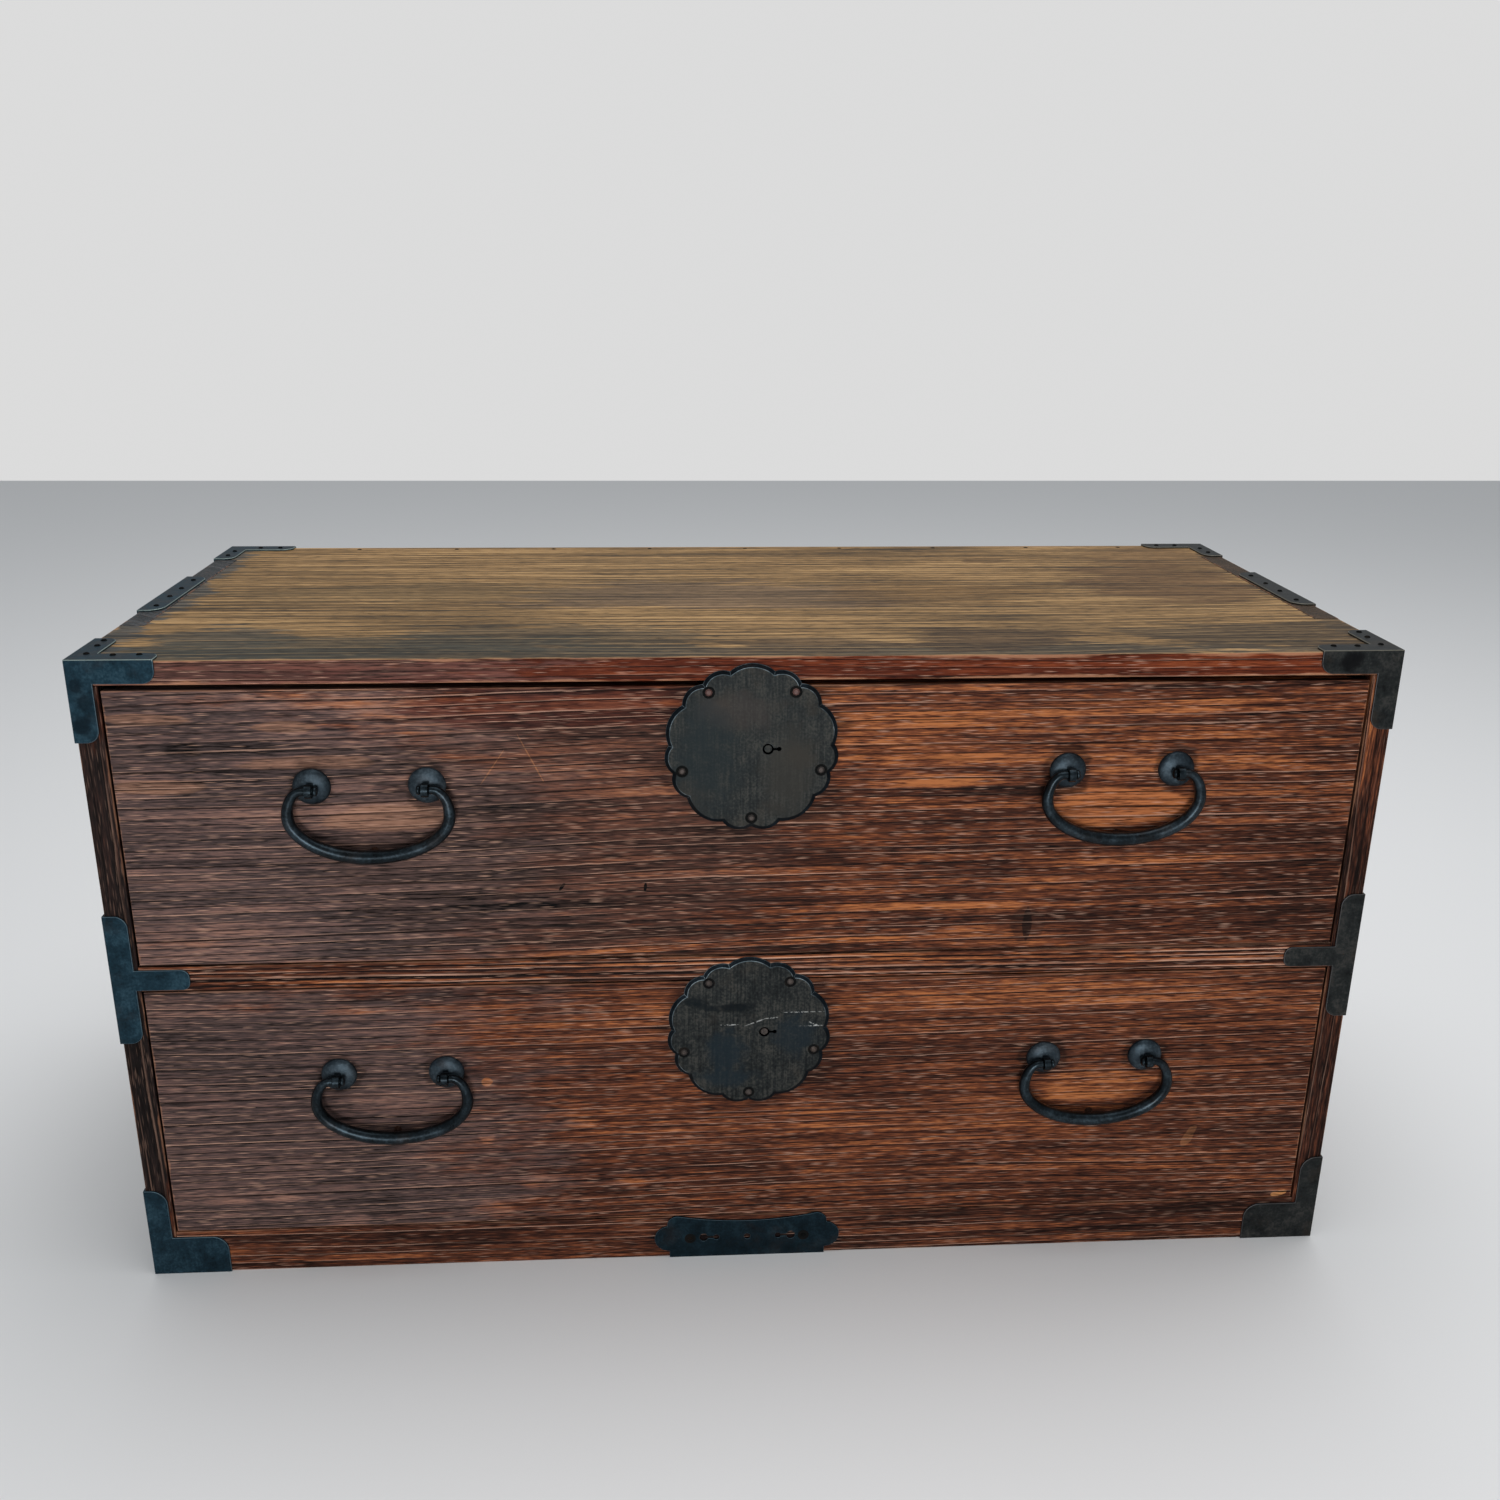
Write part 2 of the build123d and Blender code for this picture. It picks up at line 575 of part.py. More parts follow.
def lock_case(drawer):
    """An iron lock case, open to the recess that it fills and slotted on top for the bolt."""
    level = lock_level(drawer)
    front_y = DRAWER_FRONT_BACK - LOCK_RECESS
    height = LOCK_BELOW - 0.5 + LOCK_DROP[drawer]
    with BuildPart() as case:
        with BuildSketch(Plane.XZ.offset(-front_y)):
            with Locations((0, level - LOCK_BELOW + 0.5)):
                Rectangle(2 * LOCK_HALF_WIDTH, height, align=(Align.CENTER, Align.MIN))
        extrude(amount=-LOCK_DEPTH)
        offset(amount=-LOCK_WALL, openings=case.faces().sort_by(Axis.Y)[0])
        with BuildSketch(Plane.XY.offset(level + LOCK_DROP[drawer])):
            with Locations((0, BOLT_Y)):
                Rectangle(BOLT_HEAD_WIDTH + 1, BOLT_THICK + 0.8)
        extrude(amount=-LOCK_WALL, mode=Mode.SUBTRACT)
    return case


def lock_pin(drawer):
    """The pin in a keyhole, riveted to the back of the lock case, that the key's pipe turns on."""
    back_y = DRAWER_FRONT_BACK - LOCK_RECESS + LOCK_DEPTH - LOCK_WALL
    with BuildPart() as pin:
        with BuildSketch(Plane.XZ.offset(-back_y)):
            with Locations((KEYHOLE_X, lock_level(drawer))):
                Circle(KEY_PIN_RADIUS)
        extrude(amount=back_y - FRONT_Y + PLATE_THICK - 0.6)
    return pin


def lock_bolt(drawer):
    """A lock bolt, down in its case: a head below the slot and two legs either side of the pin."""
    level = lock_level(drawer)
    top = level + LOCK_DROP[drawer] - 0.4
    shoulder = top - BOLT_THROW - 5
    foot = level - LOCK_BELOW + 4
    with BuildPart() as bolt:
        with BuildSketch(Plane.XZ.offset(-BOLT_Y - BOLT_THICK / 2)):
            with Locations((0, foot)):
                Rectangle(BOLT_BODY_WIDTH, shoulder - foot, align=(Align.CENTER, Align.MIN))
            with Locations((0, shoulder)):
                Rectangle(BOLT_HEAD_WIDTH, top - shoulder, align=(Align.CENTER, Align.MIN))
            with Locations((KEYHOLE_X, foot)):
                Rectangle(
                    BOLT_SLOT_WIDTH, level + 7 - foot, align=(Align.CENTER, Align.MIN), mode=Mode.SUBTRACT
                )
        extrude(amount=BOLT_THICK)
        chamfer(bolt.faces().sort_by(Axis.Z)[-1].edges().filter_by(Axis.X), 1.2)
    return bolt


def eye_pin(board_thick):
    """A split eye pin through a board whose outer face is Y = 0, its legs clinched flat on the inside."""
    with BuildPart() as pin:
        with BuildSketch(Plane.YZ.offset(-EYE_WIDTH / 2)):
            with Locations((-PIVOT_OUT, 0)):
                RegularPolygon(EYE_RADIUS, EYE_SIDES)
                Rectangle(PIVOT_OUT + board_thick, SHANK, align=(Align.MIN, Align.CENTER))
                RegularPolygon(PIN_RADIUS + PIN_CLEARANCE, EYE_SIDES, major_radius=False, mode=Mode.SUBTRACT)
        extrude(amount=EYE_WIDTH)
        with BuildSketch(Plane.XZ.offset(-board_thick)):
            Rectangle(2 * LEG_LENGTH, SHANK)
        extrude(amount=-LEG_THICK)
    return pin


# Rosette under an eye pin: a hammered dome, square-holed for the shank
with BuildPart() as rosette:
    for height, radius in ROSETTE_RINGS:
        with BuildSketch(Plane.XZ.offset(height)):
            RegularPolygon(radius, ROSETTE_SIDES)
    loft(ruled=True)
    with BuildSketch(Plane.XZ):
        Rectangle(EYE_WIDTH + 0.2, SHANK + 0.2)
    extrude(amount=ROSETTE_RINGS[-1][0], mode=Mode.SUBTRACT)

# Bail about its pivot: an eight-sided forged bar, thickest in the middle and drawn out to its pins.
# Half of its centre line is a quarter ellipse for the shoulder and a wider one down to the middle.
with BuildPart() as bail:
    low_drop = BAIL_DROP - BAIL_SHOULDER_DROP
    shoulder_x = BAIL_HALF_WIDTH - BAIL_SHOULDER_WIDTH
    right_half = [(BAIL_END_X, 0, 1, 0, BAIL_END_RADIUS)]
    for angle in range(0, 90, 18):
        out, down = sin(radians(angle)), cos(radians(angle))
        x = shoulder_x + BAIL_SHOULDER_WIDTH * out
        z = BAIL_SHOULDER_DROP * (down - 1)
        radius = BAIL_END_RADIUS + (BAIL_SIDE_RADIUS - BAIL_END_RADIUS) * angle / 90
        right_half.append((x, z, BAIL_SHOULDER_WIDTH * down, -BAIL_SHOULDER_DROP * out, radius))
    for angle in range(0, 90, 15):
        out, down = cos(radians(angle)), sin(radians(angle))
        x = BAIL_HALF_WIDTH * out
        z = -BAIL_SHOULDER_DROP - low_drop * down
        radius = BAIL_SIDE_RADIUS + (BAIL_MIDDLE_RADIUS - BAIL_SIDE_RADIUS) * angle / 90
        right_half.append((x, z, -BAIL_HALF_WIDTH * down, -low_drop * out, radius))
    left_half = [(-x, z, -dx, dz, radius) for x, z, dx, dz, radius in right_half]
    middle = [(0, -BAIL_DROP, 1, 0, BAIL_MIDDLE_RADIUS)]
    returning = [(x, z, -dx, -dz, radius) for x, z, dx, dz, radius in reversed(right_half)]
    for x, z, dx, dz, radius in left_half + middle + returning:
        with BuildSketch(Plane((x, 0, z), x_dir=(0, 1, 0), z_dir=(dx, 0, dz))):
            RegularPolygon(radius, 8, major_radius=False, rotation=22.5)
    loft(ruled=True)
    for side in SIDES.values():
        for x, radius in KNOB_STATIONS:
            with BuildSketch(Plane.YZ.offset(side * x)):
                RegularPolygon(radius, 8, major_radius=False, rotation=22.5)
        loft(ruled=True)
        with BuildSketch(Plane.YZ.offset(side * KNOB_STATIONS[-2][0])):
            Circle(PIN_RADIUS)
        extrude(amount=side * (shoulder_x - KNOB_STATIONS[-2][0]))

# Both drawers, each with its lock and the pins of its two handles
plate_nail = driven_nail(PLATE_NAIL_HEAD, NAIL_HEAD_HEIGHT, NAIL_SHANK, PLATE_NAIL_LENGTH)
striker = driven_nail(STRIKER_RADIUS, STRIKER_HEIGHT, STRIKER_SHANK, STRIKER_LENGTH)
for drawer in DRAWER_LEVELS:
    keep(drawer_front(drawer), f"{drawer}_drawer_front")
    for side_name, side in SIDES.items():
        keep(drawer_side(drawer, side), f"{drawer}_drawer_{side_name}_side")
    keep(drawer_back(drawer), f"{drawer}_drawer_back")
    keep(drawer_bottom(drawer), f"{drawer}_drawer_bottom")
    keep(lock_case(drawer), f"{drawer}_lock_case")
    keep(lock_pin(drawer), f"{drawer}_lock_pin")
    keep(lock_bolt(drawer), f"{drawer}_lock_bolt")
    plate_centre = Vector(0, FRONT_Y, lock_level(drawer))
    with BuildPart() as plate:
        with Locations(plate_centre):
            add(lock_plate.part)
    keep(plate, f"{drawer}_lock_plate")
    with BuildPart() as plate_nails:
        for sector in range(PLATE_FOLDS):
            x, z = on_plate(PLATE_NAIL_RADIUS, (sector + 0.5) * 360 / PLATE_FOLDS)
            place = Plane(plate_centre + Vector(x, -PLATE_THICK, z), z_dir=(0, -1, 0))
            with Locations(place.location):
                add(plate_nail.part)
    keep(plate_nails, f"{drawer}_lock_plate_nails")
    with BuildPart() as rosettes:
        with Locations(*pin_places(drawer)):
            add(rosette.part)
    keep(rosettes, f"{drawer}_handle_rosettes")
    pin = eye_pin(DRAWER_FRONT_THICK)
    with BuildPart() as eye_pins:
        with Locations(*pin_places(drawer)):
            add(pin.part)
    keep(eye_pins, f"{drawer}_handle_eye_pins")
    with BuildPart() as strikers:
        for side_name, side in SIDES.items():
            seat = Vector(side * HANDLE_X, FRONT_Y, handle_level(drawer, side_name) - STRIKER_DROP)
            with Locations(Plane(seat, z_dir=(0, -1, 0)).location):
                add(striker.part)
    keep(strikers, f"{drawer}_handle_strikers")
    for side_name, side in SIDES.items():
        with BuildPart() as drawer_bail:
            with Locations((side * HANDLE_X, FRONT_Y - PIVOT_OUT, handle_level(drawer, side_name))):
                add(bail.part)
        keep(drawer_bail, f"{drawer}_{side_name}_bail")

# Carrying handles on the two side boards, turned to face outwards
side_turn = {"left": -90, "right": 90}
carry_pin = eye_pin(SIDE_THICK)
carry_places = [
    Location((side * HALF_WIDTH, STRAP_Y + end * PIN_SPACING / 2, CARRY_HEIGHT), (0, 0, side_turn[side_name]))
    for side_name, side in SIDES.items()
    for end in (-1, 1)
]
with BuildPart() as carry_rosettes:
    with Locations(*carry_places):
        add(rosette.part)
keep(carry_rosettes, "carry_handle_rosettes")
with BuildPart() as carry_eye_pins:
    with Locations(*carry_places):
        add(carry_pin.part)
keep(carry_eye_pins, "carry_handle_eye_pins")
for side_name, side in SIDES.items():
    pivot = Location((side * (HALF_WIDTH + PIVOT_OUT), STRAP_Y, CARRY_HEIGHT), (0, 0, side_turn[side_name]))
    with BuildPart() as carry_bail:
        with Locations(pivot):
            add(bail.part)
    keep(carry_bail, f"{side_name}_carry_bail")
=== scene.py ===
import json

import bmesh
import bpy
import numpy as np
from mathutils import Matrix, Vector

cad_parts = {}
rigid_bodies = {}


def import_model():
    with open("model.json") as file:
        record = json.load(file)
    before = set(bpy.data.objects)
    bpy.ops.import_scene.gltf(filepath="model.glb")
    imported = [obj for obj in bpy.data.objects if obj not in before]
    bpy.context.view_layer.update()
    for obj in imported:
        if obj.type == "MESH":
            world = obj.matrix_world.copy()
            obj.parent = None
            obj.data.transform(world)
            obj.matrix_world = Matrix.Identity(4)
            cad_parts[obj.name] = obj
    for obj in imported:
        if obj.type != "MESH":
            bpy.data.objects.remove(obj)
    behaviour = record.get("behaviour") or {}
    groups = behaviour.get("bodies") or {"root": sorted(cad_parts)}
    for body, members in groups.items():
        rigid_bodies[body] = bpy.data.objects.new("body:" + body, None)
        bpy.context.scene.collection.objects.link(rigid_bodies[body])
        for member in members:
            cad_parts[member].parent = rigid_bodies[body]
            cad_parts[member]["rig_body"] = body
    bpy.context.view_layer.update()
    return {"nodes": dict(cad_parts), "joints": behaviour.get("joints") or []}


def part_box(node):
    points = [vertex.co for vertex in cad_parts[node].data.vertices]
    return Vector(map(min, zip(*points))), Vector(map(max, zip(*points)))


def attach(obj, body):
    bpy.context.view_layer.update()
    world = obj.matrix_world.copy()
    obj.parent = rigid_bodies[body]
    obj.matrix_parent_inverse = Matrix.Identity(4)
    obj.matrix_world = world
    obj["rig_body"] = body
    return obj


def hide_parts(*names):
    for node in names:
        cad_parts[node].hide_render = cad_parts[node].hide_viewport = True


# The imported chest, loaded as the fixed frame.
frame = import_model()


# Top board: one wide plank, finger-jointed over the sides and wiped with lacquer. Years of use have
# rubbed its upper face back to the ochre wood, with a grey band of dirt along the front, while its
# front edge keeps the red-brown lacquer. The arris between the two is worn pale.
def linear(hex_colour):
    """A colour written as sRGB hex, turned to linear red, green, blue and full alpha."""
    parts = np.array([int(hex_colour[i : i + 2], 16) for i in (1, 3, 5)]) / 255
    light = np.where(parts <= 0.04045, parts / 12.92, ((parts + 0.055) / 1.055) ** 2.4)
    return (*light.tolist(), 1.0)


def add(tree, kind, inputs, stops=(), **settings):
    """Add one shader node with its settings, ramp stops and inputs, and give its first output.

    An input is linked where its value is another node's socket, and set where it is a plain value.
    """
    made = tree.nodes.new("ShaderNode" + kind)
    for name, value in settings.items():
        setattr(made, name, value)
    for place, (at, colour) in enumerate(stops):
        ramp = made.color_ramp.elements
        stop = ramp[place] if place < len(ramp) else ramp.new(at)
        stop.position = at
        stop.color = linear(colour)
    for name, value in inputs.items():
        if isinstance(value, bpy.types.NodeSocket):
            tree.links.new(value, made.inputs[name])
        else:
            made.inputs[name].default_value = value
    return made.outputs[0] if made.outputs else made


def new_finish(name):
    """An empty material of that name, and its node tree."""
    material = bpy.data.materials.new(name)
    material.use_nodes = True
    material.node_tree.nodes.clear()
    return material, material.node_tree


# How a mask fades at its border, and a half size so large that it never counts
SMOOTH = {"interpolation_type": "SMOOTHSTEP"}
THROUGH = 1e3


def ragged_patch(tree, flat, shake, at, size, turn, share, soft):
    """A mask for one ragged ellipse on a flat face: share inside, nothing outside.

    The distance from its middle, in half sizes, is shaken by noise before it is cut off near 1, within
    soft half sizes on either side. Depth into the face does not count.
    """
    ellipse = {0: flat, 1: (*at, 0), 2: (0, 0, turn), 3: (*size, THROUGH)}
    spot = add(tree, "Mapping", ellipse, vector_type="TEXTURE")
    far = add(tree, "VectorMath", {0: spot}, operation="LENGTH").node.outputs["Value"]
    far = add(tree, "Math", {0: far, 1: shake}, operation="ADD")
    return add(tree, "MapRange", {0: far, 1: 1 + soft, 2: 1 - soft, 3: 0.0, 4: share}, **SMOOTH)


RELIEF_DEPTH = 0.0006


def close_finish(tree, colour, rough, height, look):
    """End a finish with its shader: a shallow relief from height, and the look's metal and gloss."""
    relief = {"Strength": look["relief"], "Distance": RELIEF_DEPTH, "Height": height}
    surface = add(tree, "BsdfPrincipled", {
        "Base Color": colour,
        "Roughness": rough,
        "Normal": add(tree, "Bump", relief),
        "Metallic": look["metallic"],
        "Specular IOR Level": look["gloss"],
    })
    add(tree, "OutputMaterial", {"Surface": surface})


# How rings lean with the depth and ripple, how unevenly they lie, and how wear drifts from ring to ring
RING_LEAN, RING_RIPPLE = 0.7, 0.0018
UNEVEN_PER_METRE, UNEVEN_REACH = 60.0, 0.006
DRIFT_PER_METRE, DRIFT_STEP = 4.0, 7.3


def growth_rings(tree, along, across, depth, noises, ring_gap, seed, look):
    """The growth rings of a board: each ring's own wear, and masks of its dark side, groove and lip.

    The rings are a saw-tooth of the distance across the grain, which leans with the depth, is bent and
    rippled by slow noise, and is spaced unevenly. Each ring darkens towards its end, in a thin groove,
    and starts with a broken pale lip. Its wear is noise that drifts along it.
    """
    bent = across
    for source, reach in (
        (depth, RING_LEAN),
        (along, look["tilt"]),
        (noises["bend"], look["bend"]),
        (noises["ripple"], RING_RIPPLE),
    ):
        bent = add(tree, "Math", {0: source, 1: reach, 2: bent}, operation="MULTIPLY_ADD")
    uneven = add(tree, "Math", {0: bent, 1: UNEVEN_PER_METRE}, operation="MULTIPLY")
    uneven = add(tree, "TexNoise", {"W": uneven, "Scale": 1.0}, noise_dimensions="1D")
    bent = add(tree, "Math", {0: uneven, 1: UNEVEN_REACH, 2: bent}, operation="MULTIPLY_ADD")
    ring = add(tree, "Math", {0: bent, 1: ring_gap}, operation="DIVIDE")
    saw = add(tree, "Math", {0: ring}, operation="FRACT")

    drift = add(tree, "Math", {0: along, 1: DRIFT_PER_METRE}, operation="MULTIPLY")
    row = add(tree, "Math", {0: ring}, operation="FLOOR")
    row = add(tree, "Math", {0: row, 1: DRIFT_STEP}, operation="MULTIPLY")
    lane = add(tree, "CombineXYZ", {0: drift, 1: row, 2: seed})
    band = add(tree, "TexNoise", {"Vector": lane, "Scale": 1.0, "Detail": 2.0})

    cut, rim = look["cut"], look["rim"]
    flank = add(tree, "MapRange", {0: saw, 1: 0.4, 2: 0.97}, **SMOOTH)
    groove = add(tree, "MapRange", {0: saw, 1: 1 - 1.5 * cut, 2: 1 - 0.7 * cut}, **SMOOTH)
    lip = add(tree, "MapRange", {0: saw, 1: rim, 2: 0.5 * rim}, **SMOOTH)
    depth_of_cut = add(tree, "MapRange", {0: band, 1: 0.3, 2: 0.6})
    groove = add(tree, "Math", {0: groove, 1: depth_of_cut}, operation="MULTIPLY")
    unbroken = add(tree, "MapRange", {0: noises["broken"], 1: 0.42, 2: 0.66}, **SMOOTH)
    lip = add(tree, "Math", {0: lip, 1: unbroken}, operation="MULTIPLY")
    return band, flank, groove, lip


def rubbed_edges(tree, place, ragged, node, look):
    """A mask along the edges of a board's box, made ragged by noise.

    A point is near an edge where the middle one of its three distances to the faces is small.
    """
    low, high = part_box(node)
    from_low = add(tree, "VectorMath", {0: place, 1: low}, operation="SUBTRACT")
    from_high = add(tree, "VectorMath", {0: high, 1: place}, operation="SUBTRACT")
    nearest = add(tree, "VectorMath", {0: from_low, 1: from_high}, operation="MINIMUM")
    x, y, z = add(tree, "SeparateXYZ", {0: nearest}).node.outputs
    larger = add(tree, "Math", {0: x, 1: y}, operation="MAXIMUM")
    smaller = add(tree, "Math", {0: x, 1: y}, operation="MINIMUM")
    middle = add(tree, "Math", {0: larger, 1: z}, operation="MINIMUM")
    middle = add(tree, "Math", {0: smaller, 1: middle}, operation="MAXIMUM")
    reach = look["edge_reach"]
    middle = add(tree, "Math", {0: ragged, 1: 4 * reach, 2: middle}, operation="MULTIPLY_ADD")
    return add(tree, "MapRange", {0: middle, 1: 2.6 * reach, 2: 1.9 * reach, 4: look["rubbed"]}, **SMOOTH)


# Cells of the wood's noises: length along the grain and width across it in metres, and detail. Pores
# are counted per metre. Fibres, mottling and pores are drawn about 1 mm wide, coarser than real ones,
# so that they show.
WOOD_CELLS = {
    "bend": (0.6, 0.16, 1.0),
    "ripple": (0.08, 0.02, 1.0),
    "blotch": (0.2, 0.045, 5.0),
    "streak": (0.25, 0.008, 3.0),
    "fibre": (0.14, 0.0013, 2.0),
    "mottle": (0.013, 0.0010, 2.0),
    "broken": (0.2, 0.01, 3.0),
    "ragged": (0.05, 0.008, 4.0),
}
GRAIN_TURN = (0.5, 0.3, 0.7)
PORES_ALONG, PORES_ACROSS = 65.0, 900.0
WEAR_FADE, DRY_ROUGHNESS = 0.3, 0.68
# The look of a board where it isn't told otherwise: its tone and what moves it, its rings, its ragged
# marks, the pores and lines that show, its rubbed edges, and how its surface takes the light.
WOOD_LOOK = dict(
    base=0.5, band=0.7, blotch=0.6, streak=0.5, mottle=1.1, fibre=0.6, flank=0.08, bare=0.1,
    fine=1.0, tilt=0.0, bend=0.02, cut=0.1, rim=0.12,
    wear=(), films=(), shake=1.6, veil=1.3,
    grooves=0.85, lips=0.55, pits=0.5, lines=0.45, flecks=0.6, dark="#0f0705", pale="#bd9580",
    edge="#9a6c52", edge_reach=0.0016, rubbed=0.4,
    polish=0.46, relief=0.45, gloss=0.05, metallic=0.0,
)


def aged_wood(name, node, axes, tones, ring_gap, seed, **look):
    """An old board, lacquered or bare, in metres along the grain, across it and into the board.

    Blotches, streaks, mottling and fibres are noise drawn out along the grain, turned in its own space
    so that its cells do not line up with the grain. With the growth rings they add up to one tone that
    a ramp colours. In ragged ellipses, wear moves the tone, and films lay a colour over it that lets
    the tone through as strongly as veil says. Pits and lines are open pores, and flecks are pores
    filled with pale dust, one near each point of a drawn-out Voronoi pattern.

    A wear mark is its middle, its half sizes and how far it moves the tone. A film is its middle, its
    half sizes, its turn, its colour and its share.
    """
    look = WOOD_LOOK | look
    material, tree = new_finish(name)
    place = add(tree, "TexCoord", {}).node.outputs["Object"]
    split = add(tree, "SeparateXYZ", {0: place}).node.outputs
    along, across, depth = (split["XYZ".index(axis)] for axis in axes)
    board = add(tree, "CombineXYZ", {0: along, 1: across, 2: depth})
    own_part = (seed, 0.37 * seed, 0.71 * seed)
    grain = add(tree, "VectorMath", {0: board, 1: own_part}, operation="ADD")

    noises = {}
    for label, (length, width, detail) in WOOD_CELLS.items():
        if label in ("fibre", "mottle"):
            width *= look["fine"]
        cells = (1 / length, 1 / width, 1 / width)
        scaled = add(tree, "Mapping", {0: grain, 2: GRAIN_TURN, 3: cells}, vector_type="POINT")
        texture = {"Vector": scaled, "Scale": 1.0, "Detail": detail, "Roughness": 0.6}
        noises[label] = add(tree, "TexNoise", texture)
    pore_cells = (PORES_ALONG, PORES_ACROSS / look["fine"], PORES_ACROSS / look["fine"])
    pores = add(tree, "VectorMath", {0: grain, 1: pore_cells}, operation="MULTIPLY")
    pores = add(tree, "TexVoronoi", {"Vector": pores, "Scale": 1.0}).node.outputs
    band, flank, groove, lip = growth_rings(tree, along, across, depth, noises, ring_gap, seed, look)
    noises["band"] = band

    tone = look["base"]
    for label in ("band", "blotch", "streak", "mottle", "fibre"):
        centred = add(tree, "Math", {0: noises[label], 1: 0.5}, operation="SUBTRACT")
        tone = add(tree, "Math", {0: centred, 1: look[label], 2: tone}, operation="MULTIPLY_ADD")
    tone = add(tree, "Math", {0: flank, 1: -look["flank"], 2: tone}, operation="MULTIPLY_ADD")
    bare = add(tree, "MapRange", {0: band, 1: 0.5, 2: 0.66, 4: look["bare"]}, **SMOOTH)
    tone = add(tree, "Math", {0: tone, 1: bare}, operation="ADD")
    shake = 0.0
    for label in ("blotch", "ragged"):
        centred = add(tree, "Math", {0: noises[label], 1: 0.5}, operation="SUBTRACT")
        shake = add(tree, "Math", {0: centred, 1: look["shake"], 2: shake}, operation="MULTIPLY_ADD")
    for at, size, shift in look["wear"]:
        mask = ragged_patch(tree, board, shake, at, size, 0, shift, WEAR_FADE)
        tone = add(tree, "Math", {0: tone, 1: mask}, operation="ADD")

    colour = add(tree, "ValToRGB", {0: tone}, stops=tones)
    light = {0: tone, 1: look["veil"], 2: 1 - 0.5 * look["veil"]}
    light = add(tree, "Math", light, operation="MULTIPLY_ADD")
    for at, size, turn, film, share in look["films"]:
        mask = ragged_patch(tree, board, shake, at, size, turn, share, 0.08 + 1.3 * min(size))
        stain = add(tree, "VectorMath", {0: linear(film)[:3], "Scale": light}, operation="SCALE")
        colour = add(tree, "MixRGB", {0: mask, 1: colour, 2: stain})
    flecks = add(tree, "MapRange", {0: pores["Distance"], 1: 0.4, 2: 0.1})
    filled = add(tree, "MapRange", {0: pores["Color"], 1: 0.4, 2: 0.8})
    flecks = add(tree, "Math", {0: flecks, 1: filled}, operation="MULTIPLY")
    pits = add(tree, "MapRange", {0: noises["mottle"], 1: 0.42, 2: 0.3}, **SMOOTH)
    lines = add(tree, "MapRange", {0: noises["fibre"], 1: 0.42, 2: 0.34}, **SMOOTH)
    for mask, share, mark in (
        (groove, look["grooves"], look["dark"]),
        (lip, look["lips"], look["pale"]),
        (pits, look["pits"], look["dark"]),
        (lines, look["lines"], look["dark"]),
        (flecks, look["flecks"], look["pale"]),
    ):
        part = add(tree, "Math", {0: mask, 1: share}, operation="MULTIPLY")
        colour = add(tree, "MixRGB", {0: part, 1: colour, 2: linear(mark)})
    rubbed = rubbed_edges(tree, place, noises["ragged"], node, look)
    colour = add(tree, "MixRGB", {0: rubbed, 1: colour, 2: linear(look["edge"])})

    rough = add(tree, "MapRange", {0: tone, 1: 0.1, 2: 0.9, 3: look["polish"], 4: DRY_ROUGHNESS})
    height = noises["streak"]
    for source, reach in ((noises["mottle"], 0.5), (groove, -1.2), (lip, 0.3), (flecks, -0.3)):
        height = add(tree, "Math", {0: source, 1: reach, 2: height}, operation="MULTIPLY_ADD")
    close_finish(tree, colour, rough, height, look)
    return material


MERGE_WITHIN, FLAT_WITHIN = 1e-6, 0.01


def worked_copy(node, arris, sharp=0.6, worn=-1):
    """A copy of a CAD piece with its triangles merged and its faces smoothed up to the angle sharp.

    A bevel takes off the sharper arrises, and it has the finish of slot worn where one is given.
    """
    mesh = frame["nodes"][node].data.copy()
    for layer in [a for a in mesh.attributes if a.name == "custom_normal"]:
        mesh.attributes.remove(layer)
    shape = bmesh.new()
    shape.from_mesh(mesh)
    bmesh.ops.remove_doubles(shape, verts=shape.verts, dist=MERGE_WITHIN)
    bmesh.ops.dissolve_limit(shape, angle_limit=FLAT_WITHIN, verts=shape.verts, edges=shape.edges)
    for edge in shape.edges:
        edge.smooth = edge.calc_face_angle(0.0) < sharp
    for face in shape.faces:
        face.smooth = True
    shape.to_mesh(mesh)
    shape.free()
    mesh.materials.clear()
    piece = bpy.data.objects.new(node + "_worked", mesh)
    bpy.context.scene.collection.objects.link(piece)
    bevel = piece.modifiers.new("arris", "BEVEL")
    bevel.width = arris
    bevel.segments = 2
    bevel.limit_method = "ANGLE"
    bevel.angle_limit = sharp
    bevel.material = worn
    bevel.harden_normals = True
    return piece


def fit(piece, node, slot, *materials):
    """Give a piece its finishes and let it stand for a CAD node, on that node's body."""
    for material in materials:
        piece.data.materials.append(material)
    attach(piece, frame["nodes"][node]["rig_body"])
    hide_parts(node)
    return piece


def per_face(piece, what):
    """The normal or the center of each face of a piece, as an array of rows."""
    values = np.zeros(3 * len(piece.data.polygons), np.float32)
    piece.data.polygons.foreach_get(what, values)
    return values.reshape(-1, 3)


def second_finish(piece, faces):
    """Give the faces that a mask names the second of a piece's finishes."""
    piece.data.polygons.foreach_set("material_index", faces.astype(np.int32))


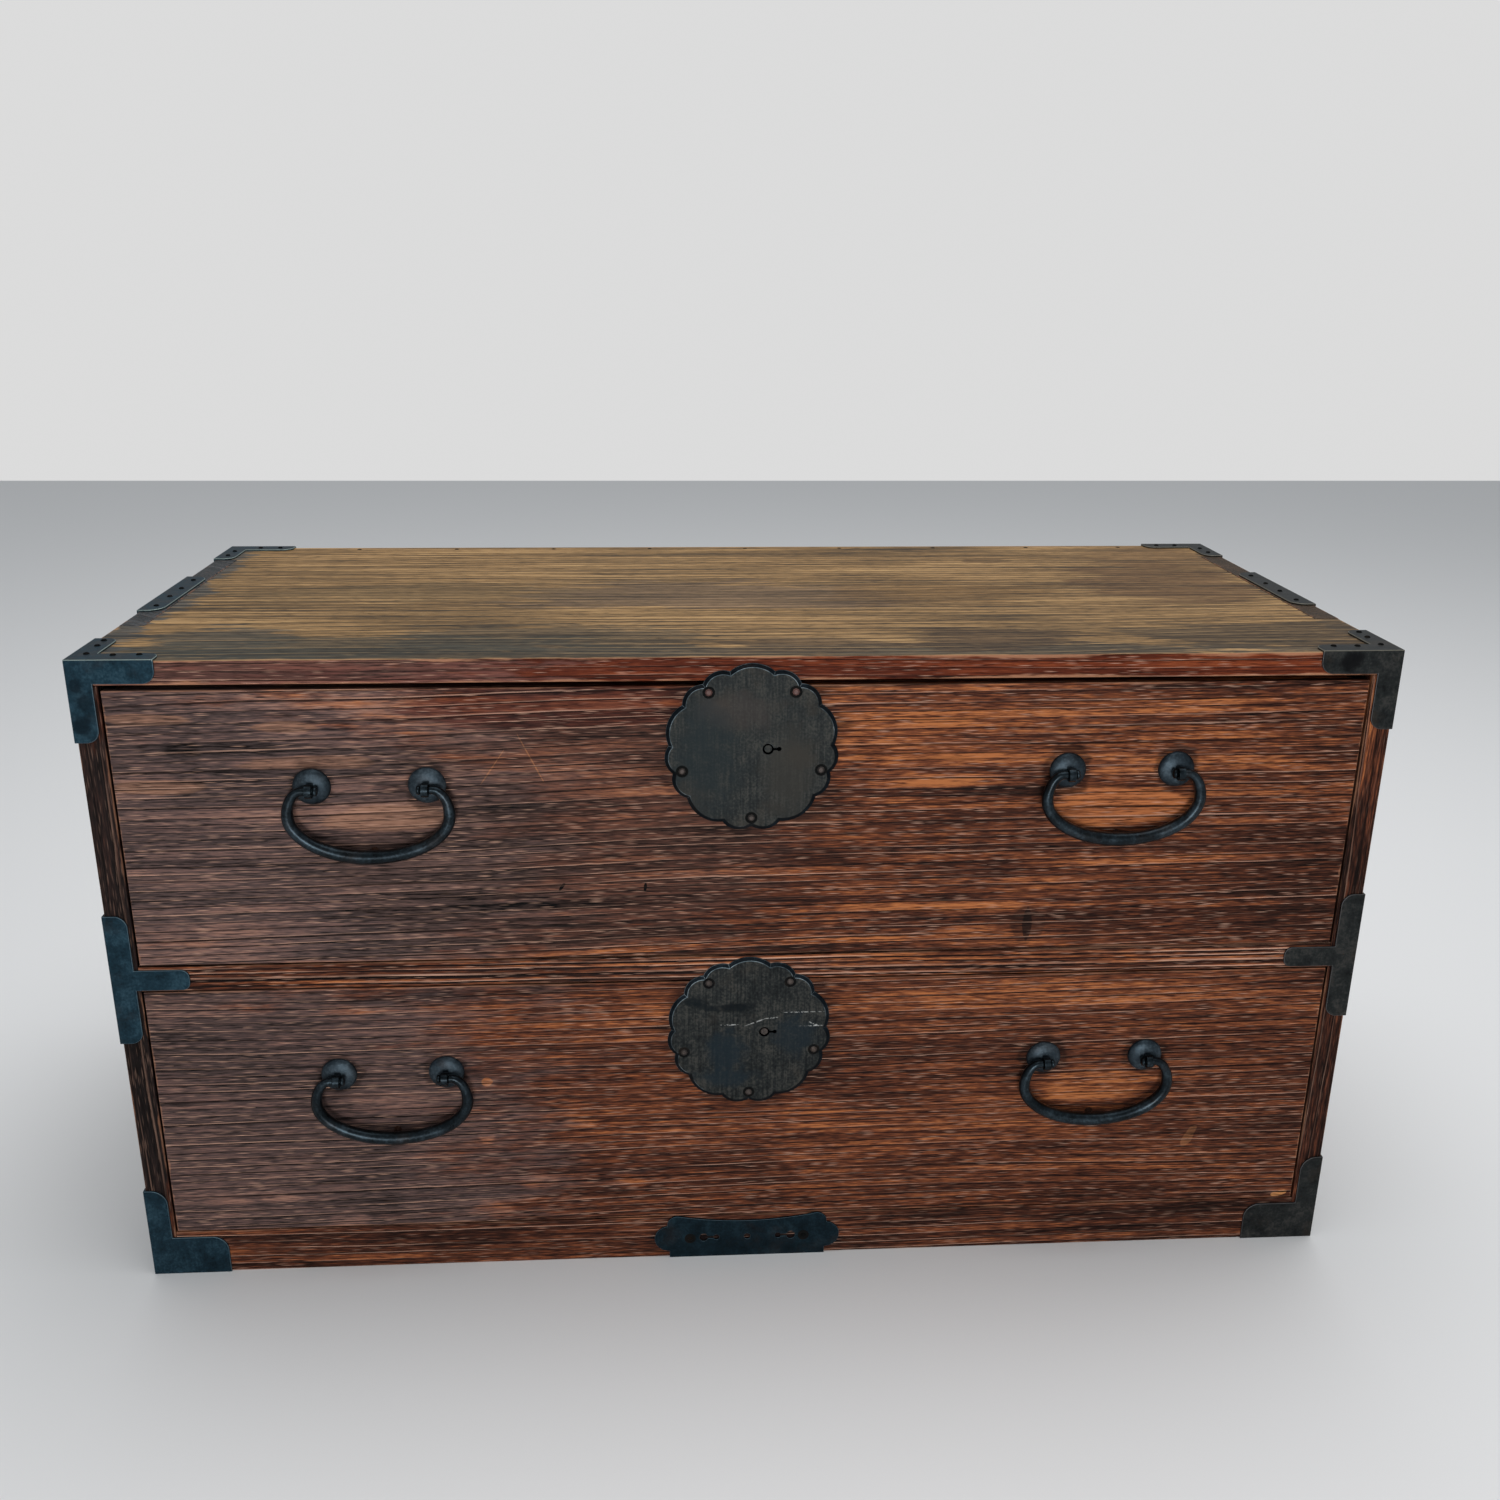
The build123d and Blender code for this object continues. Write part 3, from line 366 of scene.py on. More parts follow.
# Bare wood, scrubbed dry: ochre with soft dark rings, and grey dirt along the front and the sides
OCHRE_TONES = (
    (0.1, "#3b3226"), (0.32, "#5b4730"), (0.52, "#775d3d"), (0.72, "#90714b"), (0.95, "#ad8b60"),
)
top_face = aged_wood(
    "ochre_top_worn_bare", "top_board", "XYZ", OCHRE_TONES, ring_gap=0.009, seed=3.1,
    base=0.59, band=0.55, blotch=1.0, streak=0.8, mottle=0.9, fibre=1.7, flank=0.2, bare=0.04,
    fine=1.7, bend=0.05, cut=0.16, rim=0.2, shake=2.2,
    grooves=0.75, lips=0.45, pits=0.6, flecks=0.3, dark="#2c2218", pale="#b8976a",
    edge="#a5805a", edge_reach=0.004, rubbed=0.7, polish=0.6, relief=0.3, gloss=0.1,
    wear=(((-0.24, 0.13), (0.2, 0.07), 0.1),),
    films=(
        ((-0.03, -0.01), (0.15, 0.05), 0, "#655240", 0.85),
        ((-0.26, 0.005), (0.12, 0.03), 0, "#645239", 0.5),
        ((0.36, 0.03), (0.07, 0.08), 0, "#5c442f", 0.75),
        ((0.17, 0.0), (0.1, 0.035), 0, "#694f31", 0.6),
        ((0.39, 0.13), (0.06, 0.06), 0, "#6b5136", 0.6),
        ((0.23, 0.125), (0.02, 0.012), 0, "#4d3a27", 0.7),
        ((0.0, -0.19), (0.6, 0.024), 0, "#393833", 0.8),
        ((-0.37, -0.145), (0.05, 0.05), 0, "#373b3a", 0.7),
        ((-0.14, -0.145), (0.11, 0.04), 0, "#3f3b33", 0.65),
        ((-0.29, -0.165), (0.16, 0.03), 0, "#3a3a34", 0.7),
        ((0.17, -0.155), (0.065, 0.03), 0, "#46372a", 0.8),
        ((0.05, -0.165), (0.08, 0.022), 0, "#4c3d2e", 0.7),
        ((0.38, -0.15), (0.09, 0.04), 0, "#43382c", 0.8),
        ((-0.448, 0.0), (0.024, 0.26), 0, "#3a4144", 0.8),
        ((0.448, 0.0), (0.014, 0.26), 0, "#433a30", 0.7),
    ),
)
# Wiped lacquer: nearly black in the pores, red-brown over the wood, and orange where it has worn through
LACQUER_TONES = (
    (0.1, "#110907"), (0.32, "#2a1711"), (0.5, "#44251a"), (0.7, "#6b3c26"), (0.92, "#a0623a"),
)
top_edge = aged_wood(
    "lacquered_top_edge", "top_board", "XZY", LACQUER_TONES, ring_gap=0.0058, seed=7.7,
    base=0.52, blotch=0.5, mottle=0.7, bare=0.05, lips=0.4, veil=2.2,
    edge="#a5765a", edge_reach=0.003, rubbed=0.7,
    films=(
        ((0.2, 0.477), (0.5, 0.05), 0, "#57200e", 0.6),
        ((-0.38, 0.477), (0.24, 0.06), 0, "#664a45", 0.5),
    ),
)
top_board = worked_copy("top_board", arris=0.0012)
fit(top_board, "top_board", "top_wood", top_face, top_edge)
second_finish(top_board, per_face(top_board, "normal")[:, 2] < 0.5)

# Side boards: planks with their grain upright, as tall as the case, each with a long finger through the
# top. They carry the same wiped lacquer as the front. The ends of the fingers are grey with dirt, and
# the front edge of the left board is sooty.
for side, seed, base, dirt, soot in (
    ("left", 1.3, 0.28, "#474d50", 0.7),
    ("right", 5.9, 0.42, "#433b31", 0.0),
):
    node = f"{side}_side_board"
    low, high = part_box(node)
    finger_end = ((high.z, 0.02), (0.004, 0.5), 0, dirt, 0.85)
    front_edge = ((0.27, low.y), (0.2, 0.012), 0, "#1e1b1b", soot)
    lacquer = aged_wood(
        f"lacquered_{side}_side", node, "ZYX", LACQUER_TONES, ring_gap=0.0068, seed=seed,
        base=base, lips=0.2, flecks=0.25, films=(finger_end, front_edge),
    )
    fit(worked_copy(node, arris=0.001), node, "side_wood", lacquer)

# Rails: two bars across the front, tenoned into the sides and lacquered. The middle one shows close
# upright rings as fine ribs. The bottom one stands on the floor under the lower drawer, painted nearly
# black behind the base plate as shade seen through its piercings.
ribbed_lacquer = aged_wood(
    "lacquered_middle_rail", "middle_rail", "XZY", LACQUER_TONES, ring_gap=0.0046, seed=2.2,
    base=0.52, blotch=0.5, bend=0.008, flank=0.35, grooves=1.0, cut=0.3, lips=0.85, rim=0.3,
    wear=(((0.27, 0.2515), (0.24, 0.05), 0.14),),
)
fit(worked_copy("middle_rail", arris=0.0008), "middle_rail", "front_wood", ribbed_lacquer)
# Its film behind the base plate is painted shade, seen through the piercings
dull_lacquer = aged_wood(
    "lacquered_bottom_rail", "bottom_rail", "XZY", LACQUER_TONES, ring_gap=0.0062, seed=8.4,
    base=0.44, flecks=0.4, films=(((0.0, 0.018), (0.07, 0.016), 0, "#120c0d", 0.95),),
)
fit(worked_copy("bottom_rail", arris=0.0008), "bottom_rail", "front_wood", dull_lacquer)


# Inner boards: bottom, shelf, runners and the lapped back, all planed from pale cedar and left bare.
# The inside keeps its dry straw colour. The back has darkened evenly with age, and dirt has settled in
# the seams between its boards.
def coat(node, material):
    """Give a CAD node that shows as it is one finish."""
    frame["nodes"][node].data.materials.clear()
    frame["nodes"][node].data.materials.append(material)


BARE_TONES = (
    (0.1, "#5c4028"), (0.35, "#80603d"), (0.55, "#9c7a50"), (0.75, "#b08e62"), (0.95, "#c6a87c"),
)
BARE_RINGS = 0.0085
BARE_LOOK = dict(
    base=0.52, band=0.5, blotch=0.5, streak=0.4, mottle=0.35,
    grooves=0.45, lips=0.2, flecks=0.2, dark="#4a3320", pale="#d2b68e",
    edge="#c0a075", rubbed=0.4, polish=0.62, relief=0.3, gloss=0.2,
)
for node, axes, seed in (
    ("bottom_board", "XYZ", 4.6),
    ("shelf_board", "XYZ", 6.3),
    ("upper_runners", "YXZ", 2.9),
    ("lower_runners", "YXZ", 7.1),
):
    coat(node, aged_wood(f"bare_cedar_{node}", node, axes, BARE_TONES, BARE_RINGS, seed, **BARE_LOOK))
BACK_TONES = (
    (0.1, "#33241a"), (0.35, "#553d2a"), (0.55, "#70523a"), (0.75, "#88674a"), (0.95, "#a5835f"),
)
SEAM = 0.0016
for row, seed, tongue in (("lower", 1.1, 0.008), ("middle", 2.7, 0.008), ("upper", 5.2, 0.0)):
    node = f"back_board_{row}"
    low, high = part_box(node)
    seams = [((0.0, level), (1.0, SEAM), 0, "#1a110b", 0.9) for level in (low.z, high.z - tongue)]
    back = aged_wood(
        f"aged_back_{row}", node, "XZY", BACK_TONES, ring_gap=0.009, seed=seed, band=0.7, mottle=0.5,
        grooves=0.6, lips=0.25, flecks=0.25, dark="#2a1d14", pale="#b5966e", edge="#9a7954",
        polish=0.6, gloss=0.2, films=seams,
    )
    fit(worked_copy(node, arris=0.001), node, "inner_wood", back)

# Sheet irons: corner irons, tee irons, edge straps and the base plate, cut from wrought sheet, folded,
# filed and blackened with oil and lacquer over the fire. They lie on the wood and are nailed down. Their
# folds are worn bright, and a few dark patches of thicker old lacquer remain.
IRON_CELLS = {
    "mottle": (0.012, 0.012, 4.0),
    "grit": (0.0018, 0.0018, 2.0),
    "brush": (0.0013, 0.03, 2.0),
    "brown": (0.026, 0.026, 5.0),
    "dent": (0.009, 0.009, 1.0),
}
PATCH_SHAKE, PATCH_FADE, SCRATCH_FADE, SCRATCH_SHARE = 2.0, 0.45, 0.3, 0.8
SCRATCHED = "#9c9e9c"
# The look of an iron where it isn't told otherwise: what moves its tone, its brown worn spots, its
# marks, and how its surface takes the light.
IRON_LOOK = dict(
    mottle=1.1, grit=0.6, brush=0.15, brown=0.4, rust="#4a392c", films=(), scratches=(),
    smooth=0.42, coarse=0.62, relief=0.3, gloss=0.5, metallic=0.9,
)


def blackened_iron(name, seed, skin, **look):
    """Wrought iron blackened over the fire: a satin dark skin, mottled, thin and browner in worn spots.

    Mottling is noise of about 12 mm, grit is noise of about 2 mm so that it shows, and brush marks are
    noise drawn out upright. Together they move colour and roughness, and grit and dents give a shallow
    hammered relief. Films are ragged ellipses seen from the front, and scratches are long thin ones
    broken up by the grit.
    """
    look = IRON_LOOK | look
    material, tree = new_finish(name)
    place = add(tree, "TexCoord", {}).node.outputs["Object"]
    x, _, z = add(tree, "SeparateXYZ", {0: place}).node.outputs
    flat = add(tree, "CombineXYZ", {0: x, 1: z, 2: 0.0})
    own_part = (seed, 0.6 * seed, 0.3 * seed)
    moved = add(tree, "VectorMath", {0: place, 1: own_part}, operation="ADD")
    noises = {}
    for label, (width, height, detail) in IRON_CELLS.items():
        cells = (1 / width, 1 / width, 1 / height)
        scaled = add(tree, "VectorMath", {0: moved, 1: cells}, operation="MULTIPLY")
        texture = {"Vector": scaled, "Scale": 1.0, "Detail": detail, "Roughness": 0.6}
        noises[label] = add(tree, "TexNoise", texture)

    tone = 0.5
    for label in ("mottle", "grit", "brush"):
        centred = add(tree, "Math", {0: noises[label], 1: 0.5}, operation="SUBTRACT")
        tone = add(tree, "Math", {0: centred, 1: look[label], 2: tone}, operation="MULTIPLY_ADD")
    colour = add(tree, "ValToRGB", {0: tone}, stops=skin)
    worn = add(tree, "MapRange", {0: noises["brown"], 1: 0.52, 2: 0.7, 4: look["brown"]}, **SMOOTH)
    colour = add(tree, "MixRGB", {0: worn, 1: colour, 2: linear(look["rust"])})
    shake = add(tree, "Math", {0: noises["mottle"], 1: 0.5}, operation="SUBTRACT")
    shake = add(tree, "Math", {0: shake, 1: PATCH_SHAKE}, operation="MULTIPLY")
    for at, size, turn, film, share in look["films"]:
        mask = ragged_patch(tree, flat, shake, at, size, turn, share, PATCH_FADE)
        colour = add(tree, "MixRGB", {0: mask, 1: colour, 2: linear(film)})
    beaded = add(tree, "MapRange", {0: noises["grit"], 1: 0.42, 2: 0.58}, **SMOOTH)
    for at, size, turn in look["scratches"]:
        mask = ragged_patch(tree, flat, shake, at, size, turn, SCRATCH_SHARE, SCRATCH_FADE)
        mask = add(tree, "Math", {0: mask, 1: beaded}, operation="MULTIPLY")
        colour = add(tree, "MixRGB", {0: mask, 1: colour, 2: linear(SCRATCHED)})

    rough = add(tree, "MapRange", {0: tone, 1: 0.2, 2: 0.8, 3: look["smooth"], 4: look["coarse"]})
    height = {0: noises["grit"], 1: 0.25, 2: noises["dent"]}
    height = add(tree, "Math", height, operation="MULTIPLY_ADD")
    close_finish(tree, colour, rough, height, look)
    return material


IRON_PATCHES = {
    "right": (((0.4175, 0.479), (0.0075, 0.0055), 0.2, "#090a0c", 0.85),),
    "left": (
        ((-0.4475, 0.4395), (0.006, 0.0075), 0.3, "#04121a", 0.85),
        ((-0.444, 0.4575), (0.0055, 0.006), 0, "#04121a", 0.75),
        ((-0.4485, 0.468), (0.004, 0.005), 0, "#04121a", 0.75),
    ),
}
FOLD = 0.0012
sheet_irons, worn_and_highlit_arris_irons = {}, {}
for side, seed, skin, rust, bright, fold in (
    ("right", 1.7, ((0.2, "#111314"), (0.5, "#222525"), (0.8, "#3c3b39")), "#413529", "#48484a", "#6e6b60"),
    ("left", 0.0, ((0.2, "#091a22"), (0.5, "#152b36"), (0.8, "#2b4450")), "#302f30", "#46555d", "#87948f"),
):
    # The skin is plain black on the right and blue-black on the left, the blue a painted cool reflection;
    # its arrises are rubbed and also painted lighter grey as a highlight
    fold_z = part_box(f"front_top_{side}_corner_iron")[1].z
    worn_and_highlit_arris_irons[side] = blackened_iron(
        f"worn_{side}_arris", 9.0, ((0.2, skin[2][1]), (0.6, bright)), brown=0.2,
        films=(((0.0, fold_z), (2.0, FOLD), 0, fold, 0.8),),
    )
    sheet_irons[side] = blackened_iron(
        f"blackened_{side}_iron", seed, skin, rust=rust, brown=0.25, films=IRON_PATCHES[side],
    )
    irons = [f"{end}_{level}_{side}_corner_iron" for end in ("front", "back") for level in ("top", "foot")]
    for node in irons + [f"{side}_tee_iron", f"{side}_edge_strap"]:
        piece = worked_copy(node, arris=0.0005, worn=1)
        fit(piece, node, "iron", sheet_irons[side], worn_and_highlit_arris_irons[side])
# The base plate is painted the deepest blue-black, darker than the other irons as painted shade, low
# down and out of the light
base_plate_shade_iron = blackened_iron(
    "blackened_base_shade_iron", 4.0, ((0.2, "#041016"), (0.5, "#0a1b23"), (0.8, "#192c35")), brown=0.1,
)
base_plate = worked_copy("base_plate", arris=0.001, worn=1)
fit(base_plate, "base_plate", "iron", base_plate_shade_iron, worn_and_highlit_arris_irons["left"])


# Nails: hand-forged, with low heads hammered down until they sit tight. Those of the lock plates and
# the base plate sit on black discs, painted shade of the gap round each head, and the top two of the
# upper lock plate show red rust. A row of brads holds the top to the back.
def make_piece(name, points, quads):
    """A smooth object from an array of points and an array of quads, with coincident points merged."""
    mesh = bpy.data.meshes.new(name)
    mesh.from_pydata(points.reshape(-1, 3).tolist(), [], quads.reshape(-1, 4).tolist())
    shape = bmesh.new()
    shape.from_mesh(mesh)
    bmesh.ops.remove_doubles(shape, verts=shape.verts, dist=MERGE_WITHIN)
    bmesh.ops.recalc_face_normals(shape, faces=shape.faces)
    for face in shape.faces:
        face.smooth = True
    shape.to_mesh(mesh)
    shape.free()
    piece = bpy.data.objects.new(name, mesh)
    bpy.context.scene.collection.objects.link(piece)
    return piece


def tube_quads(rows, columns):
    """The quads of a grid of points that is closed round its columns, as indices of its points."""
    index = np.arange(rows * columns).reshape(rows, columns)
    ahead = np.roll(index, -1, axis=1)
    return np.stack([index[:-1], index[1:], ahead[1:], ahead[:-1]], axis=-1)


def spun(profile, columns, seats, ways):
    """A profile of (radius, height) turned about its height axis, once at each seat and along its way.

    The surface is radius times (cos t, sin t) across the axis and height along it, t going round.
    """
    turn = np.linspace(0, 2 * np.pi, columns, endpoint=False)
    radius, height = (np.asarray(profile, float)[:, i, None] for i in (0, 1))
    local = np.stack([radius * np.cos(turn), radius * np.sin(turn), height + 0 * turn], axis=-1)
    quads = tube_quads(len(profile), columns)
    points, faces = [], []
    for count, (seat, way) in enumerate(zip(seats, ways)):
        across = np.cross(way, (0, 0, 1)) if abs(way[2]) < 0.5 else np.array((1.0, 0, 0))
        points.append(seat + local @ np.array([across, np.cross(way, across), way]))
        faces.append(quads + count * len(profile) * columns)
    return np.array(points), np.array(faces)


def solids_of(node, count):
    """The lowest and highest corners of each of the equal solids in a CAD node."""
    points = np.zeros(3 * len(frame["nodes"][node].data.vertices), np.float32)
    frame["nodes"][node].data.vertices.foreach_get("co", points)
    each = points.reshape(count, -1, 3)
    return each.min(1), each.max(1)


def nail_seats(node, count, face_y):
    """The middles of the nails in a CAD node, brought to the front face of the plate that they hold."""
    lows, highs = solids_of(node, count)
    seats = (lows + highs) / 2
    seats[:, 1] = face_y
    return seats


def raised_spots(name, profile, columns, seats, way, iron, body):
    """Low spun forms of one profile on a body, one at each seat, all raised the same way."""
    piece = make_piece(name, *spun(profile, columns, seats, np.tile(way, (len(seats), 1))))
    piece.data.materials.append(iron)
    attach(piece, body)


# Heads on the irons are dull and nearly black, those on the lock plates grey, two of them rusted red.
# The discs under the plate nails are matt black, painted shade of the gap round each head, and the
# studs that the bails strike are brown with rust.
nail_iron = blackened_iron(
    "nail_head_iron", 2.0, ((0.2, "#030304"), (0.5, "#070808"), (0.8, "#0e0f0f")), brown=0.1,
    metallic=0.0, gloss=0.05, smooth=0.7, coarse=0.9,
)
grey_head = blackened_iron(
    "plate_nail_grey", 3.0, ((0.2, "#2a2726"), (0.5, "#423c39"), (0.8, "#5d5551")), brown=0.2,
)
red_head = blackened_iron(
    "plate_nail_rusted", 3.5, ((0.2, "#2c1915"), (0.5, "#472b25"), (0.8, "#61403a")), brown=0.5,
    rust="#4a2c24", metallic=0.2,
)
gap_shade_iron = blackened_iron(
    "nail_gap_shade_iron", 6.0, ((0.2, "#030404"), (0.5, "#060707"), (0.8, "#0c0d0e")), brown=0.1,
    metallic=0.0, gloss=0.1, smooth=0.8, coarse=0.9,
)
stud_iron = blackened_iron(
    "rusted_stud_iron", 6.5, ((0.2, "#1b100c"), (0.5, "#2c1a13"), (0.8, "#40271b")),
    metallic=0.0, gloss=0.1,
)
coat("iron_nails", nail_iron)
IRON_NAILS, PLATE_NAILS, RUSTED_ABOVE = 28, 5, 0.7
# Black discs laid under the plate nails, painted shade of the gap round each head
SHADE_GAP, SHADE_GAP_SIDES = ((0.0, 0.00012), (0.0040, 0.00012), (0.0044, 0.0)), 20
TO_FRONT, TO_TOP = (0.0, -1.0, 0.0), (0.0, 0.0, 1.0)
for drawer in ("upper", "lower"):
    coat(f"{drawer}_handle_strikers", stud_iron)
    node = f"{drawer}_lock_plate_nails"
    heads = fit(worked_copy(node, arris=0.0003), node, "iron", grey_head, red_head)
    plate_low, plate_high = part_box(f"{drawer}_lock_plate")
    if drawer == "upper":
        rusted_from = plate_low.z + RUSTED_ABOVE * (plate_high.z - plate_low.z)
        second_finish(heads, per_face(heads, "center")[:, 2] > rusted_from)
    seats = nail_seats(node, PLATE_NAILS, plate_low.y)
    name, body = f"{drawer}_nail_gap_shades", f"{drawer}_drawer"
    raised_spots(name, SHADE_GAP, SHADE_GAP_SIDES, seats, TO_FRONT, gap_shade_iron, body)
plate_low, plate_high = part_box("base_plate")
seats = nail_seats("iron_nails", IRON_NAILS, plate_low.y)
seats = seats[seats[:, 2] < plate_high.z]
raised_spots("base_nail_gap_shades", SHADE_GAP, SHADE_GAP_SIDES, seats, TO_FRONT, gap_shade_iron, "case")
BRAD, BRAD_SIDES, BRADS = ((0.0, 0.0003), (0.0012, 0.0003), (0.0021, 0.0)), 10, 9
FIRST_BRAD, BRAD_GAP, BRAD_INSET = -0.337, 0.0885, 0.0085
low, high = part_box("top_board")
seats = [(FIRST_BRAD + BRAD_GAP * count, high.y - BRAD_INSET, high.z) for count in range(BRADS)]
raised_spots("top_back_brads", BRAD, BRAD_SIDES, np.array(seats), TO_TOP, nail_iron, "case")

# Drawer fronts: one wide flat-sawn plank each, grain across, wiped with red-brown lacquer that has worn
# through to orange wood in bands. Dark patches of old lacquer remain, a dark border round the irons is
# painted contact shade on the wood, and the edges are rubbed pale.
FRONT_WEAR = {
    "upper": (
        # Right of the lock plate, worn to orange
        ((0.2, 0.425), (0.17, 0.035), 0.1),
        ((0.185, 0.437), (0.09, 0.004), 0.2),
        ((0.3, 0.443), (0.035, 0.004), 0.2),
        ((0.18, 0.411), (0.08, 0.004), 0.2),
        ((0.33, 0.406), (0.065, 0.005), 0.15),
        ((0.135, 0.395), (0.035, 0.005), 0.2),
        ((0.263, 0.399), (0.03, 0.005), 0.2),
        ((0.265, 0.373), (0.05, 0.013), 0.35),
        ((0.18, 0.296), (0.07, 0.004), 0.2),
        ((0.336, 0.297), (0.056, 0.004), 0.2),
        ((0.184, 0.277), (0.05, 0.007), 0.12),
        ((0.25, 0.37), (0.25, 0.13), 0.03),
        # Left of it, worn to tan
        ((-0.408, 0.445), (0.025, 0.005), 0.25),
        ((-0.314, 0.439), (0.024, 0.005), 0.25),
        ((-0.23, 0.436), (0.045, 0.004), 0.25),
        ((-0.3, 0.413), (0.046, 0.005), 0.22),
        ((-0.1, 0.405), (0.05, 0.02), 0.08),
        ((-0.408, 0.396), (0.03, 0.005), 0.28),
        ((-0.276, 0.394), (0.02, 0.004), 0.22),
        ((-0.257, 0.371), (0.045, 0.012), 0.28),
        ((-0.394, 0.326), (0.04, 0.005), 0.12),
        ((-0.348, 0.29), (0.06, 0.006), 0.18),
        # Lacquer that has kept, darker
        ((-0.385, 0.427), (0.011, 0.009), -0.12),
        ((-0.35, 0.424), (0.05, 0.004), -0.15),
        ((-0.1, 0.355), (0.1, 0.06), -0.07),
        ((-0.21, 0.318), (0.03, 0.012), -0.08),
        ((-0.03, 0.288), (0.28, 0.022), -0.05),
        ((0.16, 0.384), (0.055, 0.006), -0.14),
        ((0.39, 0.33), (0.05, 0.03), -0.04),
        ((0.15, 0.32), (0.045, 0.022), -0.08),
    ),
    "lower": (
        # Broad bands, and the wood inside the bails
        ((0.24, 0.222), (0.18, 0.013), 0.12),
        ((-0.13, 0.21), (0.12, 0.02), 0.08),
        ((0.07, 0.14), (0.3, 0.13), 0.03),
        ((0.1, 0.11), (0.2, 0.016), 0.05),
        ((0.262, 0.145), (0.045, 0.014), 0.24),
        ((-0.262, 0.146), (0.04, 0.009), 0.2),
        # Small rubbed spots at the lower left
        ((-0.125, 0.123), (0.014, 0.004), 0.2),
        ((-0.197, 0.113), (0.006, 0.007), 0.2),
        ((-0.16, 0.073), (0.012, 0.007), 0.18),
        ((-0.088, 0.069), (0.014, 0.004), 0.18),
        ((-0.355, 0.064), (0.014, 0.004), 0.2),
        ((-0.394, 0.062), (0.018, 0.004), 0.2),
        ((-0.194, 0.049), (0.018, 0.007), 0.18),
        ((-0.3025, 0.0445), (0.014, 0.006), 0.22),
        # Lacquer that has kept, darker
        ((-0.36, 0.2), (0.07, 0.03), -0.06),
        ((-0.28, 0.085), (0.018, 0.035), -0.08),
        ((0.0, 0.085), (0.04, 0.02), -0.08),
    ),
}
FRONT_FILMS = {
    "upper": (
        # A grey haze on the left, partly lacquer bloom and partly a painted cool sheen, which fades
        # towards the lock plate, and orange inside the right bail
        ((-0.42, 0.36), (0.26, 0.16), 0, "#4e4747", 0.6),
        ((-0.13, 0.36), (0.15, 0.11), 0, "#4b3832", 0.45),
        ((0.265, 0.373), (0.05, 0.014), 0, "#7d4a2c", 0.5),
        # Tan bands on the left
        ((-0.408, 0.445), (0.026, 0.004), 0, "#6a4c3a", 0.5),
        ((-0.314, 0.439), (0.024, 0.004), 0, "#6a4c3a", 0.5),
        ((-0.3, 0.413), (0.046, 0.005), 0, "#6a4c3a", 0.45),
        ((-0.404, 0.396), (0.034, 0.005), 0, "#6a4c3a", 0.55),
        ((-0.257, 0.371), (0.045, 0.01), 0, "#6a4c3a", 0.45),
        # Thick red lacquer at the top, and a knot with its halo
        ((-0.13, 0.452), (0.11, 0.016), 0, "#3c150e", 0.6),
        ((0.203, 0.281), (0.011, 0.017), 0, "#2c1b15", 0.5),
        ((0.203, 0.281), (0.0028, 0.015), 0, "#150d0b", 0.8),
        # Two scratches and two nicks
        ((-0.152, 0.414), (0.0005, 0.02), 0.45, "#8a5c3c", 0.45),
        ((-0.178, 0.409), (0.0005, 0.015), -0.6, "#8a5c3c", 0.4),
        ((-0.134, 0.3175), (0.0012, 0.0035), -0.6, "#050303", 1.0),
        ((-0.075, 0.3165), (0.0011, 0.004), -0.1, "#050303", 1.0),
    ),
    "lower": (
        # The grey haze again, lacquer bloom with a painted cool sheen, a rubbed spot, a chip in the corner
        # and a smear
        ((-0.42, 0.13), (0.26, 0.16), 0, "#4a4343", 0.6),
        ((-0.1945, 0.1605), (0.004, 0.004), 0, "#8f5733", 0.7),
        ((0.424, 0.0415), (0.006, 0.0022), 0.3, "#b07a4c", 0.85),
        ((0.3435, 0.0955), (0.004, 0.0105), -0.45, "#7d5438", 0.5),
    ),
}
ROSETTES = 4
for drawer, seed, tilt, base, bare in (("upper", 0.0, -0.02, 0.51, 0.1), ("lower", 9.5, -0.01, 0.52, 0.0)):
    node = f"{drawer}_drawer_front"
    contact_shade = []
    # A dark ragged ellipse a little larger than each lock plate and rosette: painted contact shade round it
    for iron, count, rim in (("lock_plate", 1, 0.002), ("handle_rosettes", ROSETTES, 0.003)):
        for low, high in zip(*solids_of(f"{drawer}_{iron}", count)):
            middle, half = (low + high) / 2, (high - low) / 2 + rim
            contact_shade.append(((middle[0], middle[2]), (half[0], half[2]), 0, "#120a08", 0.6))
    lacquer = aged_wood(
        f"lacquered_{drawer}_front", node, "XZY", LACQUER_TONES, ring_gap=0.0064, seed=seed,
        tilt=tilt, base=base, bare=bare, band=0.4 + 3 * bare, shake=1.2, veil=2.4, cut=0.15,
        wear=FRONT_WEAR[drawer], films=(*FRONT_FILMS[drawer], *contact_shade),
    )
    fit(worked_copy(node, arris=0.0008), node, "front_wood", lacquer)

# Drawer boxes: thin sides, back and bottom of the same bare cedar as the inner boards, finger-jointed
# and pinned, never lacquered.
for drawer, shift in (("upper", 0.0), ("lower", 3.7)):
    for part, axes, seed in (
        ("left_side", "YZX", 1.2),
        ("right_side", "YZX", 5.5),
        ("back", "XZY", 3.3),
        ("bottom", "XYZ", 8.8),
    ):
        node, name = f"{drawer}_drawer_{part}", f"bare_cedar_{drawer}_drawer_{part}"
        cedar = aged_wood(name, node, axes, BARE_TONES, BARE_RINGS, seed + shift, **BARE_LOOK)
        fit(worked_copy(node, arris=0.0006), node, "inner_wood", cedar)

